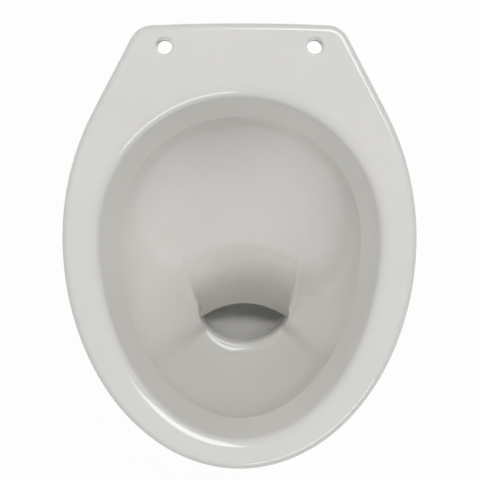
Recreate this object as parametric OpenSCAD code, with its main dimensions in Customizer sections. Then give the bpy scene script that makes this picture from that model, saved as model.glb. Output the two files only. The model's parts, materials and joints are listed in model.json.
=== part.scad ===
// Floor-standing washdown toilet bowl with a horizontal outlet and a bare seat deck.
// The pan stands on z = 0, its front tip faces -Y, and X = 0 is its middle plane.
// Each casting that the potter lutes to the next is a solid of its own, and the walls of the two
// hollow ones, the rim and the pedestal, are apart.

/* [Pan] */
// Greatest width over the rim
pan_w = 366; // [350:1:380]
// Length from the front tip to the back edge of the deck
pan_l = 460; // [445:1:480]
// Height of the rim top above the floor
pan_h = 400; // [390:1:430]
// How far the widest line of the rim lies behind the middle of the length
wide_y = 10; // [0:1:20]

/* [Seat deck] */
// Angle of the deck's straight sides to the middle plane
deck_flare = 27.5; // [24:0.5:30]
// Radius that carries the widest line round into the straight sides
deck_side_r = 280; // [260:1:300]
// Radius of the two back corners, seen from above
deck_corner_r = 25; // [15:1:32]
// Bulge of the back edge at its middle
deck_crown = 2; // [0:0.5:4]
// Distance between the centres of the two seat holes
seat_pitch = 155; // [140:1:165]
// Diameter of a seat hole
seat_hole_d = 16.5; // [14:0.5:18]
// Distance from the back edge to the seat holes' centres
seat_hole_back = 24.5; // [23:0.5:30]
// Rounding at the mouth of a seat hole
seat_hole_edge_r = 2.5; // [1:0.5:4]
// Diameter of the thick pad under the deck round a seat hole
seat_pad_d = 30; // [26:1:30]
// Height of that pad
seat_pad_h = 6; // [4:0.5:8]

/* [Rim] */
// Height of the rim's outer wall
rim_h = 50; // [46:1:56]
// Thickness of the rim's top
rim_top_t = 12; // [10:0.5:15]
// Thickness of the rim's outer wall
rim_wall_t = 9; // [7:0.5:10]
// Thickness of the rim's leaning inner wall
lip_wall_t = 7; // [6:0.5:8]
// Rounding of the outer top edge
rim_edge_r = 8; // [5:0.5:9]
// Width of the rim beside the opening, at the widest line
rim_side_w = 39; // [37:0.5:44]
// Width of the rim in front of the opening
rim_front_w = 32; // [28:0.5:38]
// Length of the deck behind the opening
deck_l = 77.5; // [74:0.5:84]
// Height of the rounding of the opening's top edge
open_edge_r = 11; // [7:0.5:11]
// Width of that rounding, which starts softly on the rim's top
open_edge_w = 16; // [12:0.5:18]
// How far the inner wall leans in on its way down to the lip
lip_lean = 13.5; // [8:0.5:15]
// Thickness of the wash ring that closes the flush channel from below
wash_ring_t = 8; // [6:0.5:10]
// Width of the flush channel behind the opening
channel_rear = 18; // [16:1:20]
// Diameter of a wash hole
wash_hole_d = 5; // [4:0.5:6]
// Number of wash holes round the ring
wash_hole_count = 22; // [14:2:28]

/* [Bowl] */
// Thickness of the bowl's side and front walls
bowl_t = 11; // [9:0.5:12]
// Upright thickness of the bowl's back slope
slope_t = 20; // [18:0.5:24]
// How far the bowl's wall stands back under the lip
bowl_undercut = 17; // [16:0.5:18]
// Height of the cove that carries the bowl's outside out under the rim
cove_h = 18; // [12:1:24]
// How far that cove reaches out
cove_w = 16; // [10:1:17]
// Rise of the back slope, in mm for each mm towards the back
slope_rise = 0.36; // [0.34:0.01:0.4]
// Rise of the steep wall above the dip lip
dip_wall_rise = 1.5; // [1.4:0.01:1.6]
// Y of the line where the back slope rolls over into the steep wall
roll_y = -18; // [-24:1:-12]
// How widely that roll is rounded
roll_blend = 29; // [18:1:36]
// Half width of the shoulder round the well
shoulder_w = 71; // [68:1:76]
// Y of the shoulder's middle
shoulder_y = -30; // [-34:1:-26]
// Shoulder from its middle to its front
shoulder_front = 94; // [92:1:96]
// Shoulder from its middle to its rear
shoulder_rear = 60; // [54:1:64]
// Widening of the shoulder, in mm for each mm towards the back
shoulder_flare = 0.1; // [0.05:0.01:0.16]
// How far the shoulder climbs from its front to its rear
shoulder_lift = 58; // [50:1:62]
// How far ahead of the mouth's corners that climb starts
lift_lead = 34; // [28:1:36]
// Rise of that climb, in mm for each mm towards the back
lift_rise = 0.56; // [0.5:0.02:0.66]
// Rounding of the shoulder where it drops into the well
shoulder_r = 8; // [6:0.5:10]

/* [Trap] */
// Height of the shoulder above the floor at its front
mouth_h = 182; // [180:1:188]
// Half width of the bowl's lower mouth
mouth_w = 51; // [48:0.5:52]
// Y of the mouth's two side corners
mouth_y = -88; // [-90:0.5:-86]
// Mouth from its corners to its front
mouth_front = 29; // [27:0.5:30]
// Mouth from its corners to the arched dip lip
mouth_arch = 16; // [14:0.5:18]
// Angle at which the mouth's front curve runs into its corners
mouth_corner = 18; // [12:1:24]
// Height of the arched dip lip above the floor
dip_h = 148; // [145:1:152]
// Radius of the dip lip's nose
dip_nose_r = 7; // [6:0.5:8]
// Height of the sump's floor above the ground
sump_floor_h = 80; // [74:1:84]
// Half width of the sump
sump_w = 54; // [52:0.5:56]
// Half width of the rising passage
riser_w = 47; // [44:0.5:50]
// Slope of the rising passage
riser_angle = 42; // [40:1:44]
// Height of the weir, which sets the water level
weir_h = 197; // [194:1:200]
// Y of the weir
weir_y = 102; // [98:1:106]
// Radius of the weir's rounded crest
weir_r = 20; // [16:1:24]
// Height of the passage over the weir
weir_gap = 55; // [52:1:57]
// Thickness of the trap's walls
trap_t = 9; // [7:0.5:10]

/* [Outlet and inlet] */
// Height of the outlet's axis
outlet_h = 180; // [176:1:184]
// Outside diameter of the outlet
outlet_d = 102; // [100:1:106]
// Bore of the outlet
outlet_bore = 86; // [84:1:88]
// Length of the plain outlet spigot
outlet_l = 38; // [34:1:42]
// How far the outlet ends short of the deck's back edge
outlet_back = 2; // [1:0.5:8]
// Depth of the flush inlet's axis below the rim top
inlet_drop = 56; // [54:1:60]
// Bore of the flush inlet
inlet_bore = 55; // [52:0.5:57]
// Thickness of the inlet horn's wall
horn_t = 9; // [7:0.5:10]
// Length of the inlet horn
horn_l = 18; // [16:1:19]
// How far the horn ends short of the deck's back edge
horn_back = 6; // [5:0.5:8]
// Diameter of the flush pipe that the rubber seal takes
flush_pipe_d = 44; // [40:0.5:46]
// Length of the rubber seal inside the horn
seal_l = 22; // [18:1:24]
// Height of the seal's collar outside the horn's bore
seal_collar = 4; // [3:0.5:5]

/* [Pedestal] */
// Width of the foot
foot_w = 230; // [226:1:240]
// Y of the foot's front
foot_front = -150; // [-156:1:-147]
// Y of the foot's rear
foot_rear = 146; // [142:1:152]
// Height of the foot
foot_h = 22; // [18:1:26]
// Width of the pedestal at its waist
waist_w = 166; // [162:1:170]
// Thickness of the pedestal's wall
pedestal_t = 9; // [7:0.5:10]
// Distance between the two floor screw holes
floor_pitch = 196; // [194:1:200]
// Y of the floor screw holes
floor_hole_y = 50; // [35:1:65]
// Diameter of a floor screw hole in the foot
floor_hole_d = 12; // [11:0.5:12.5]
// Bore of the nylon bush in it
bush_bore = 7; // [6.5:0.5:8]
// Thickness of the inner webs
web_t = 10; // [8:0.5:12]

/* [Hidden] */

glaze = "#d1d0cc";
biscuit = "#cfc9bd";
rubber = "#2b2b2c";
nylon = "#e9e8e2";

// Points round a freeform outline, and round the trap
quarter_steps = 14;
outline_steps = 4 * quarter_steps;
trap_steps = 36;
corner_steps = 5;
back_steps = 3;
round_steps = 4;
// Clearance of a bush in its hole
fit_gap = 0.2;
// How far a cut runs past the face that it leaves
past = 1;
// Size of a block that reaches past the pan on every side
far = 600;
// Break of the rim's lower outer edge
edge_break = 2.5;
$fn = 64;

y_back = pan_l / 2;
y_front = -pan_l / 2;
rim_z = pan_h - rim_h;
ring_z = rim_z - wash_ring_t;
channel_z = pan_h - rim_top_t;
seat_y = y_back - seat_hole_back;
open_w = pan_w - 2 * rim_side_w;
open_rear = y_back - deck_l - wide_y;
open_front = wide_y - y_front - rim_front_w;

// Plan outlines

// Offset of a superellipse coordinate from its middle, for a share s of -1 to 1
function bulge(s, n) = sign(s) * pow(abs(s), 2 / n);
// Egg about [0, y]: half width a, and the reach towards the rear and the front
function egg(a, rear, front, y, n = 2) = [
    for (i = [0 : outline_steps - 1])
        let (th = 360 * i / outline_steps, s = sin(th))
        [a * bulge(cos(th), n), y + (s >= 0 ? rear : front) * bulge(s, n)]
];
// The opening's egg, grown by d all round
function opening(d) = egg(open_w / 2 + d, open_rear + d, open_front + d, wide_y);

// Right half of the rim's outline from the front tip to the middle of the back, moved in by d
flare_x = pan_w / 2 - deck_side_r * (1 - cos(deck_flare));
flare_y = wide_y + deck_side_r * sin(deck_flare);
back_y = y_back - deck_crown;
// Middle of the corner arc: it touches the straight side and the back edge
corner_y = back_y - deck_corner_r;
corner_x = flare_x - (corner_y - flare_y) * tan(deck_flare) - deck_corner_r / cos(deck_flare);
function rim_half(d) = concat(
    [for (i = [0 : quarter_steps]) let (th = -90 + 90 * i / quarter_steps)
        [(pan_w / 2 - d) * cos(th), wide_y + (wide_y - y_front - d) * sin(th)]],
    [for (i = [1 : corner_steps]) let (th = deck_flare * i / corner_steps)
        [pan_w / 2 - deck_side_r + (deck_side_r - d) * cos(th), wide_y + (deck_side_r - d) * sin(th)]],
    [for (i = [0 : corner_steps]) let (th = deck_flare + (90 - deck_flare) * i / corner_steps)
        [corner_x + (deck_corner_r - d) * cos(th), corner_y + (deck_corner_r - d) * sin(th)]],
    [for (i = [1 : back_steps]) let (x = corner_x * (1 - i / back_steps))
        [x, back_y - d + deck_crown * (1 - pow(x / corner_x, 2))]]
);
function rim_outline(d) = let (h = rim_half(d), n = len(h))
    concat(h, [for (i = [n - 2 : -1 : 1]) [-h[i][0], h[i][1]]]);

// Lofts

// The outline's points at height z
function at(z, pts) = [for (p = pts) [p[0], p[1], z]];
function middle(ring) = [for (k = [0 : 2]) let (v = [for (p = ring) p[k]]) (min(v) + max(v)) / 2];
// A closed body through rings of equal length, each anticlockwise seen against the travel
module loft(rings) {
    n = len(rings[0]);
    m = len(rings);
    points = concat([for (r = rings) each r], [middle(rings[0]), middle(rings[m - 1])]);
    walls = [for (j = [0 : m - 2], i = [0 : n - 1])
        let (k = (i + 1) % n, a = j * n + i, b = (j + 1) * n + i, c = (j + 1) * n + k, d = j * n + k)
        each [[a, b, c], [a, c, d]]];
    ends = [for (i = [0 : n - 1]) let (k = (i + 1) % n, top = (m - 1) * n)
        each [[n * m, i, k], [n * m + 1, top + k, top + i]]];
    polyhedron(points, concat(walls, ends), convexity = 10);
}
// Freeform clay: one skin of facets
module clay() {
    resize([0, 0, 0]) children();
}

// Rim

// Steps of a quarter round, each [share out, share down], from the top to the side
round_share = [for (i = [0 : round_steps]) let (a = 90 * i / round_steps) [1 - sin(a), 1 - cos(a)]];
module rim_body() {
    loft(concat(
        [at(rim_z, rim_outline(edge_break)), at(rim_z + edge_break, rim_outline(0))],
        [for (i = [round_steps : -1 : 0])
            at(pan_h - rim_edge_r * round_share[i][1], rim_outline(rim_edge_r * round_share[i][0]))]
    ));
}
// The air inside the opening: a leaning wall with a rounded top edge
module opening_air() {
    loft(concat(
        [at(rim_z - past, opening(-lip_lean)), at(rim_z, opening(-lip_lean))],
        [for (i = [round_steps : -1 : 0])
            at(pan_h - open_edge_r * round_share[i][1], opening(open_edge_w * round_share[i][0]))],
        [at(pan_h + past, opening(open_edge_w))]
    ));
}
// Outer wall line of the flush channel, grown by d: it follows the rim at the front and sides
function channel_line(d) = egg(
    pan_w / 2 - rim_wall_t + d, open_rear + channel_rear + d, wide_y - y_front - rim_wall_t + d, wide_y
);
horn_y = y_back - horn_back;
inlet_z = pan_h - inlet_drop;
horn_r = inlet_bore / 2 + horn_t;
// The chamber between the horn and the flush channel, a little larger than the horn
box_margin = 4;
box_w = 2 * (horn_r + box_margin);
box_front = wide_y + open_rear + channel_rear + rim_wall_t;
box_rear = horn_y - horn_l;
box_low = inlet_z - horn_r - box_margin;
window_w = box_w - 2 * rim_wall_t;
// Clearance of the skirt's arch round the horn
arch_gap = 5;
module seat_hole() {
    edge = seat_hole_d / 2 + seat_hole_edge_r;
    translate([0, 0, channel_z - past]) cylinder(d = seat_hole_d, h = rim_top_t + 2 * past);
    translate([0, 0, pan_h - seat_hole_edge_r]) rotate_extrude() difference() {
        square([edge, seat_hole_edge_r + past]);
        translate([edge, 0]) circle(r = seat_hole_edge_r);
    }
}
// What lies between two heights, and between two planes across the pan
module slice(z0, z1) {
    translate([-far / 2, -far / 2, z0]) cube([far, far, z1 - z0]);
}
module slab(y0, y1) {
    translate([-far / 2, y0, 0]) cube([far, y1 - y0, far]);
}
// The rim's top, with the seat deck
module rim_deck() {
    color(glaze) difference() {
        clay() difference() {
            intersection() {
                rim_body();
                slice(channel_z, pan_h);
            }
            opening_air();
        }
        for (side = [-1, 1])
            translate([side * seat_pitch / 2, seat_y, 0]) seat_hole();
    }
}
// The rim's outer wall, which runs on round the deck
module rim_skirt() {
    color(glaze) clay() difference() {
        intersection() {
            rim_body();
            slice(rim_z, channel_z);
        }
        loft([for (z = [rim_z - past, channel_z + past]) at(z, rim_outline(rim_wall_t))]);
        // Arch in the back skirt round the inlet horn
        translate([0, y_back + past, inlet_z]) rotate([90, 0, 0])
            cylinder(r = horn_r + arch_gap, h = 2 * rim_wall_t);
    }
}
// The leaning inner wall
module rim_lip() {
    color(glaze) clay() difference() {
        loft([at(rim_z, opening(lip_wall_t - lip_lean)), at(channel_z, opening(lip_wall_t))]);
        opening_air();
    }
}
// How far behind the widest line the channel's back wall parts from the skirt
wall_start = 30;
// The flush channel's back wall, with the window from the flush box
module channel_wall() {
    color(biscuit) clay() difference() {
        intersection() {
            loft([for (z = [rim_z, channel_z]) at(z, channel_line(rim_wall_t))]);
            loft([for (z = [rim_z - past, channel_z + past]) at(z, rim_outline(rim_wall_t))]);
            slab(wide_y + wall_start, y_back);
        }
        loft([for (z = [rim_z - past, channel_z + past]) at(z, channel_line(0))]);
        translate([-window_w / 2, box_front - 2 * rim_wall_t, rim_z - past])
            cube([window_w, 2 * rim_wall_t + past, channel_z - rim_z + 2 * past]);
    }
}

// The pads run back to the skirt where it is near
module seat_hole_pads() {
    color(biscuit) translate([0, 0, channel_z - seat_pad_h]) difference() {
        intersection() {
            for (side = [-1, 1])
                translate([side * seat_pitch / 2, seat_y, 0]) cylinder(d = seat_pad_d, h = seat_pad_h);
            linear_extrude(seat_pad_h) polygon(rim_outline(rim_wall_t));
        }
        for (side = [-1, 1])
            translate([side * seat_pitch / 2, seat_y, -past])
                cylinder(d = seat_hole_d, h = seat_pad_h + 2 * past);
    }
}

// Wash ring

// The wash holes lie between the foot of the leaning wall and the bowl's wall
wash_line = (bowl_undercut + lip_wall_t) / 2 - lip_lean;
function wash_point(i) = let (th = 360 * (i + 0.5) / wash_hole_count, s = sin(th))
    [(open_w / 2 + wash_line) * cos(th), wide_y + ((s >= 0 ? open_rear : open_front) + wash_line) * s];
// Bevel under the ring, outside and at the lip
ring_bevel = 3;
// The ring's edge stands this far in from the rim's outside
ring_inset = 2;
module wash_ring() {
    outer = rim_wall_t - ring_inset;
    color(glaze) difference() {
        clay() difference() {
            loft([
                at(ring_z, channel_line(outer - 3 * ring_bevel)),
                at(ring_z + ring_bevel, channel_line(outer - ring_bevel)),
                at(rim_z, channel_line(outer))
            ]);
            loft([
                at(ring_z - past, opening(1 - lip_lean)), at(ring_z + ring_bevel, opening(-lip_lean)),
                at(rim_z + past, opening(-lip_lean))
            ]);
        }
        for (i = [0 : wash_hole_count - 1])
            translate([each wash_point(i), ring_z - past])
                cylinder(d = wash_hole_d, h = wash_ring_t + 2 * past);
    }
}

// Bowl surface, seen from inside

function mix(a, b, t) = a + (b - a) * t;
function soft_max(a, b, k) = let (h = max(k - abs(a - b), 0) / k) max(a, b) + h * h * k / 4;
function soft_min(a, b, k) = -soft_max(-a, -b, k);
dip_y = mouth_y + mouth_arch;
// Radius of the back slope's hollow from side to side, which follows the dip lip's arch
slope_hollow_r = pow(mouth_w, 2) / (2 * mouth_arch);
roll_z = dip_h + dip_wall_rise * (roll_y - dip_y);
// Height of the back slope and of the steep wall over the dip lip
function slope_z(x, y) = let (v = y + x * x / (2 * slope_hollow_r))
    soft_min(dip_h + dip_wall_rise * (v - dip_y), roll_z + slope_rise * (v - roll_y), roll_blend);
// Height of the shoulder, which climbs towards the back until it dips under the slope
crease_front = 60;
crease_rear = -16;
crease_l = 60;
function part_way(v) = min(1, max(0, v));
function smooth_way(v) = let (t = part_way(v)) t * t * (3 - 2 * t);
function shoulder_z(p) = let (
        behind = p[1] - mouth_y,
        rise = soft_max(lift_rise * (behind + lift_lead), 0, shoulder_r),
        climbed = soft_min(rise, shoulder_lift, shoulder_r),
        above = mix(crease_front, crease_rear, smooth_way((behind - mouth_front) / crease_l)))
    soft_min(mouth_h + climbed, max(slope_z(p[0], p[1]) + above, mouth_h), shoulder_r);
// Share of a side wall's climb, for a share s of the way out: flat at the shoulder, upright at the top
climb_power = 1.35;
function climb(s) = 1 - sqrt(max(0, 1 - pow(s, climb_power)));
function climb_rate(s) = let (a = max(0, s - 0.01), b = min(1, s + 0.01))
    (climb(b) - climb(a)) / (b - a);
bowl_top = opening(bowl_undercut - lip_lean);
// The shoulder: a rounded front, and sides that part towards the back
shoulder_n = 2.5;
shoulder = [for (i = [0 : outline_steps - 1]) let (
        th = 360 * i / outline_steps, s = sin(th),
        reach = (s >= 0 ? shoulder_rear : shoulder_front) * bulge(s, shoulder_n),
        flare = shoulder_flare * (s >= 0 ? 3 : 1))
    [(shoulder_w + flare * reach) * bulge(cos(th), shoulder_n), shoulder_y + reach]];
shoulder_heights = [for (p = shoulder) shoulder_z(p)];
// A point of the mouth's outline as shares of its width and depth: th 0 to 180 is the arch
function lens(th) = let (
        corner = 2 * mouth_front / (mouth_front + mouth_arch) - 1,
        a = mouth_corner + (180 - 2 * mouth_corner) * (th - 180) / 180,
        out = (sin(a) - sin(mouth_corner)) / (1 - sin(mouth_corner)))
    th <= 180
        ? [cos(th), mix(corner, 1, pow(sin(th), 2))]
        : [-cos(a) / cos(mouth_corner), mix(corner, -1, out)];
// The turn round the mouth that faces a turn th round the shoulder
corner_turn = 33;
function mouth_turn(th) = let (t = th > 270 ? th - 360 : th, arch = 180 + 2 * corner_turn)
    t >= -corner_turn && t <= 180 + corner_turn
        ? 180 * (t + corner_turn) / arch
        : 180 + 180 * ((th < 180 ? th + 360 : th) - 180 - corner_turn) / (360 - arch);
mouth = [for (i = [0 : outline_steps - 1]) let (u = lens(mouth_turn(360 * i / outline_steps)))
    [mouth_w * u[0], mouth_y - mouth_front + (mouth_front + mouth_arch) * (1 + u[1]) / 2]];
// Direction from the shoulder's point i into the well: to the mouth where that is near, else square in
near_mouth = 8;
function unit(v) = v / norm(v);
function into_well(i) = let (
        n = outline_steps,
        along = shoulder[(i + 1) % n] - shoulder[(i + n - 1) % n],
        to_mouth = mouth[i] - shoulder[i],
        square_in = part_way((norm(to_mouth) - near_mouth) / (2 * near_mouth)))
    unit(mix(unit(to_mouth), unit([-along[1], along[0]]), square_in));
function round_reach(i) = min(shoulder_r, 0.93 * norm(mouth[i] - shoulder[i]));
// How softly two surfaces meet at y: sharp at the mouth, round further back
mouth_blend = 4;
slope_blend = 16;
blend_l = 90;
function crease_blend(y) = mix(mouth_blend, slope_blend, part_way((y - mouth_y) / blend_l));
// Rings over the rounded shoulder, for a share k of the round
function round_ring(k) = [for (i = [0 : outline_steps - 1]) let (
        p = shoulder[i] + into_well(i) * round_reach(i) * k,
        drop = shoulder_r * (1 - sqrt(1 - k * k)))
    [p[0], p[1], soft_max(shoulder_heights[i] - drop, slope_z(p[0], p[1]), crease_blend(p[1]))]];
// From the foot of the well's side wall, the steep wall runs to the mouth, for a share t of the way
wall_foot = 3;
function wall_point(i, t) = let (
        edge = shoulder[i] + into_well(i) * round_reach(i),
        foot = edge + into_well(i) * min(wall_foot, 0.12 * norm(mouth[i] - edge)))
    mix(foot, mouth[i], t);
front_low = mouth_h - shoulder_r - past;
function wall_low(i) = mouth_turn(360 * i / outline_steps) > 180 ? front_low : dip_h;
function wall_ring(t) = [for (i = [0 : outline_steps - 1]) let (
        p = wall_point(i, t),
        low = wall_low(i))
    [p[0], p[1], t == 1 ? low : max(low, slope_z(p[0], p[1]))]];
wall_shares = [1, 0.7, 0.42, 0.2, 0];
round_shares = [1, 0.9, 0.7, 0.4];
// Rings up the side walls, for a share s of the way out
out_shares = [0, 0.12, 0.28, 0.45, 0.6, 0.73, 0.84, 0.92, 0.97];
function bowl_ring(s) = [for (i = [0 : outline_steps - 1]) let (
        p = mix(shoulder[i], bowl_top[i], s),
        side = mix(shoulder_heights[i], ring_z, climb(s)))
    [p[0], p[1], min(ring_z, soft_max(side, slope_z(p[0], p[1]), crease_blend(p[1])))]];
module bowl_air() {
    loft(concat(
        [for (t = wall_shares) wall_ring(t)],
        [for (k = round_shares) round_ring(k)],
        [for (s = out_shares) bowl_ring(s)],
        [at(ring_z, bowl_top), at(ring_z + past, bowl_top)]
    ));
}
// The outside of the bowl: the side walls are bowl_t thick, the back slope slope_t
function outer_point(i, s) = let (
        n = outline_steps,
        p = mix(shoulder[i], bowl_top[i], s),
        along = bowl_top[(i + 1) % n] - bowl_top[(i + n - 1) % n],
        away = unit([along[1], -along[0]]),
        run = norm(bowl_top[i] - shoulder[i]),
        rise = (ring_z - shoulder_heights[i]) * climb_rate(s),
        slant = norm([run, rise]),
        q = p + away * bowl_t * rise / slant,
        side = mix(shoulder_heights[i], ring_z, climb(s)) - bowl_t * run / slant)
    [q[0], q[1], min(ring_z - cove_h - past, max(side, slope_z(q[0], q[1]) - slope_t))];
function outer_ring(s) = [for (i = [0 : outline_steps - 1]) outer_point(i, s)];
// Underside of the well: a thin floor at the front, slope_t under the steep wall
well_floor_t = 14;
under_low = mouth_h - well_floor_t;
function under_ring(t) = [for (i = [0 : outline_steps - 1]) let (
        p = mix(mouth[i], shoulder[i], t),
        back = part_way((p[1] - mouth_y) / near_mouth),
        z = mix(under_low, slope_z(p[0], p[1]) - slope_t, back))
    [p[0], p[1], min(z, shoulder_heights[i] - bowl_t)]];
// The cove under the rim: a share k of its height lies below each ring
cove_shares = [0, 0.4, 0.7, 0.9, 1];
function cove_ring(k) = at(ring_z - cove_h * (1 - k),
    opening(bowl_undercut - lip_lean + bowl_t + cove_w * (1 - sqrt(1 - k * k))));
module bowl_body() {
    loft(concat(
        [for (t = [0 : 0.25 : 0.75]) under_ring(t)],
        [for (s = out_shares) outer_ring(s)],
        [for (k = cove_shares) cove_ring(k)]
    ));
}

// Trap

sump_y = dip_y + dip_nose_r;
outlet_r = outlet_bore / 2;
spigot_y = y_back - outlet_back - outlet_l;
// The fall behind the weir, and the bend that levels it out ahead of the outlet
fall_angle = 42;
bend_r = 18;
bend_run = 12;
bend_y = spigot_y - bend_run;
sump_n = 2.5;
riser_n = 2.4;
// A station of the passage, its walls moved out by d:
// [floor y, floor z, ceiling y, ceiling z, half width, roundness, share of the mouth's own outline]
// Under the dip lip, turned by a from level to the riser's slope
function sump_station(a, d) = let (
        down = dip_h - sump_floor_h + d,
        ahead = sump_y - (mouth_y - mouth_front) + d,
        reach = a <= 90 ? ahead : down,
        nose = max(1, dip_nose_r - d),
        t = a / (90 + riser_angle))
    [sump_y - reach * cos(a), dip_h - down * sin(a), sump_y - nose * cos(a), dip_h - nose * sin(a),
        mix(mouth_w, sump_w, min(1, 2 * t)) + d, mix(2, sump_n, t), max(0, 1 - 2 * t)];
// Over the weir
function crown_station(a, d) = let (low = weir_r - d, high = weir_r + weir_gap + d, c = weir_h - weir_r)
    [weir_y - low * sin(a), c + low * cos(a), weir_y - high * sin(a), c + high * cos(a),
        riser_w + d, riser_n, 0];
// Down to the outlet
function bend_station(a, d) = let (
        c = outlet_h + outlet_r + bend_r, high = bend_r - d, low = bend_r + 2 * outlet_r + d,
        t = a / fall_angle)
    [bend_y - low * sin(a), c - low * cos(a), bend_y - high * sin(a), c - high * cos(a),
        mix(outlet_r, riser_w, t) + d, mix(2, riser_n, t), 0];
// The passage starts above the mouth's edge and ends at the spigot
mouth_rise = 2;
crown_steps = 5;
bend_steps = 3;
function lifted(s, z) = [s[0], z, s[2], z, s[4], s[5], s[6]];
function moved_to(s, y) = [y, s[1], y, s[3], s[4], s[5], s[6]];
function passage(d) = concat(
    [lifted(sump_station(0, d), mouth_h - mouth_rise)],
    [for (a = [0 : 15 : 89 + riser_angle]) sump_station(a, d)],
    [sump_station(90 + riser_angle, d)],
    [for (i = [0 : crown_steps])
        crown_station(riser_angle - (riser_angle + fall_angle) * i / crown_steps, d)],
    [for (i = [0 : bend_steps]) bend_station(fall_angle * (1 - i / bend_steps), d)],
    [moved_to(bend_station(0, d), spigot_y)]
);
function station_ring(s) = [for (i = [0 : trap_steps - 1]) let (
        th = 360 * i / trap_steps,
        u = lens(th),
        across = mix(bulge(cos(th), s[5]), u[0], s[6]) * s[4],
        up = (1 + mix(bulge(sin(th), s[5]), u[1], s[6])) / 2)
    [across, mix(s[0], s[2], up), mix(s[1], s[3], up)]];
module duct(d) {
    stations = passage(d);
    loft([for (i = [len(stations) - 1 : -1 : 0]) station_ring(stations[i])]);
}
module trap_clay() {
    clay() difference() {
        intersection() {
            duct(trap_t);
            children();
        }
        duct(0);
        bowl_body();
        bowl_air();
    }
}
// Planes where the trap's castings are luted together
sump_joint_l = 30;
weir_joint_l = 42;
riser_joint = sump_y + sump_joint_l;
crown_joint = weir_y - weir_joint_l;
module bowl_shell() {
    color(glaze) clay() difference() {
        bowl_body();
        bowl_air();
        duct(0);
    }
}
module sump_cup() {
    color(glaze) trap_clay() slab(-far, riser_joint);
}
module trap_riser() {
    color(biscuit) trap_clay() slab(riser_joint, crown_joint);
}
module trap_crown() {
    color(glaze) trap_clay() slab(crown_joint, spigot_y);
}
// Collar of the spigot, which covers the trap's end
collar_h = 6;
collar_step = 4;
module outlet_spigot() {
    color(glaze) translate([0, spigot_y, outlet_h]) rotate([-90, 0, 0]) difference() {
        union() {
            cylinder(d = outlet_d, h = outlet_l);
            cylinder(r = outlet_r + trap_t + collar_step, h = collar_h);
        }
        translate([0, 0, -past]) cylinder(d = outlet_bore, h = outlet_l + 2 * past);
    }
}

// Flush inlet

module flush_box() {
    wall = rim_wall_t;
    deep = box_rear - box_front;
    color(glaze) difference() {
        translate([-box_w / 2, box_front, box_low]) cube([box_w, deep, channel_z - box_low]);
        translate([-window_w / 2, box_front - past, rim_z])
            cube([window_w, wall + 2 * past, channel_z - rim_z + past]);
        translate([-window_w / 2, box_front + wall, box_low + wall])
            cube([window_w, deep - 2 * wall, channel_z - box_low]);
        translate([0, box_rear - wall - past, inlet_z]) rotate([-90, 0, 0])
            cylinder(d = inlet_bore, h = wall + 2 * past);
    }
}
// Wedge that parts the flush to the left and right
splitter_w = 24;
module flush_splitter() {
    deep = box_rear - box_front - 2 * rim_wall_t;
    color(biscuit) translate([0, box_front + rim_wall_t, box_low + rim_wall_t])
        linear_extrude(channel_z - box_low - rim_wall_t)
            polygon([[-splitter_w / 2, 0], [splitter_w / 2, 0], [0, deep / 2]]);
}
module inlet_horn() {
    color(glaze) translate([0, box_rear, inlet_z]) rotate([-90, 0, 0]) difference() {
        cylinder(r = horn_r, h = horn_l);
        translate([0, 0, -past]) cylinder(d = inlet_bore, h = horn_l + 2 * past);
    }
}
// The seal's collar stands this far out over the horn's end
collar_lap = 4;
module inlet_seal() {
    color(rubber) translate([0, horn_y + seal_collar, inlet_z]) rotate([90, 0, 0]) difference() {
        union() {
            cylinder(r = inlet_bore / 2 + collar_lap, h = seal_collar);
            cylinder(d = inlet_bore, h = seal_l);
        }
        translate([0, 0, -past]) cylinder(d = flush_pipe_d, h = seal_l + 2 * past);
    }
}

// Pedestal

waist = waist_w / 2;
// How far the foot stands out in front of the pedestal, and half as far behind it
foot_step = 14;
foot_n = 2.6;
pedestal_n = 2.8;
// Where the pedestal's upright wall ends and its collar opens out under the bowl
collar_drop = 34;
collar_z = mouth_h - collar_drop;
function foot_ring(z, w, front, rear, n) = at(z, egg(w, rear - wide_y, wide_y - front, wide_y, n));
// Heights up the pedestal, how far the wall stands out from the waist there, and how far its front does
levels = [
    [foot_h, 6, 5], [foot_h + 6, 3.5, 2.5], [foot_h + 20, 1, 0.5], [mouth_h - 70, 0, 0], [collar_z, 2, 2],
    [mouth_h - 10, 8, 7], [mouth_h + 8, 17, 14], [mouth_h + 28, 30, 25], [mouth_h + 60, 38, 32],
    [ring_z - ring_bevel, 44, 36]
];
function level_ring(v, d, z) = foot_ring(z, waist + v[1] - d,
    foot_front + foot_step - v[2] + d, foot_rear - foot_step / 2 - d, pedestal_n);
// The pedestal's outside, moved in by d
module pedestal_body(d) {
    loft([for (v = levels) level_ring(v, d, v[0])]);
}
module pedestal_air() {
    loft(concat(
        [level_ring(levels[0], pedestal_t, foot_h - past)],
        [for (v = levels) level_ring(v, pedestal_t, v[0])]
    ));
}
// Flange of the bush in a floor screw hole, and the room that the pedestal leaves it
bush_flange_r = floor_hole_d / 2 + 2.5;
bush_flange_h = 2;
bush_room = 0.5;
module pedestal_clay() {
    clay() difference() {
        intersection() {
            pedestal_body(0);
            children();
        }
        pedestal_air();
        bowl_body();
        bowl_air();
        duct(trap_t);
        for (side = [-1, 1])
            translate([side * floor_pitch / 2, floor_hole_y, foot_h - past])
                cylinder(r = bush_flange_r + bush_room, h = bush_flange_h + foot_h);
    }
}
module pedestal_shell() {
    color(glaze) pedestal_clay() slice(foot_h, collar_z);
}
module pedestal_collar() {
    color(glaze) pedestal_clay() slice(collar_z, ring_z);
}
// Steps of the foot's rounded edge, each [height, how far the wall is moved in there]
foot_edge = [[0, 1], [2, 0], [foot_h - 5, 1], [foot_h - 1.5, 2.5], [foot_h, 4.5]];
// Width of the foot's ring at its front and rear
foot_ring_w = 25;
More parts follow.
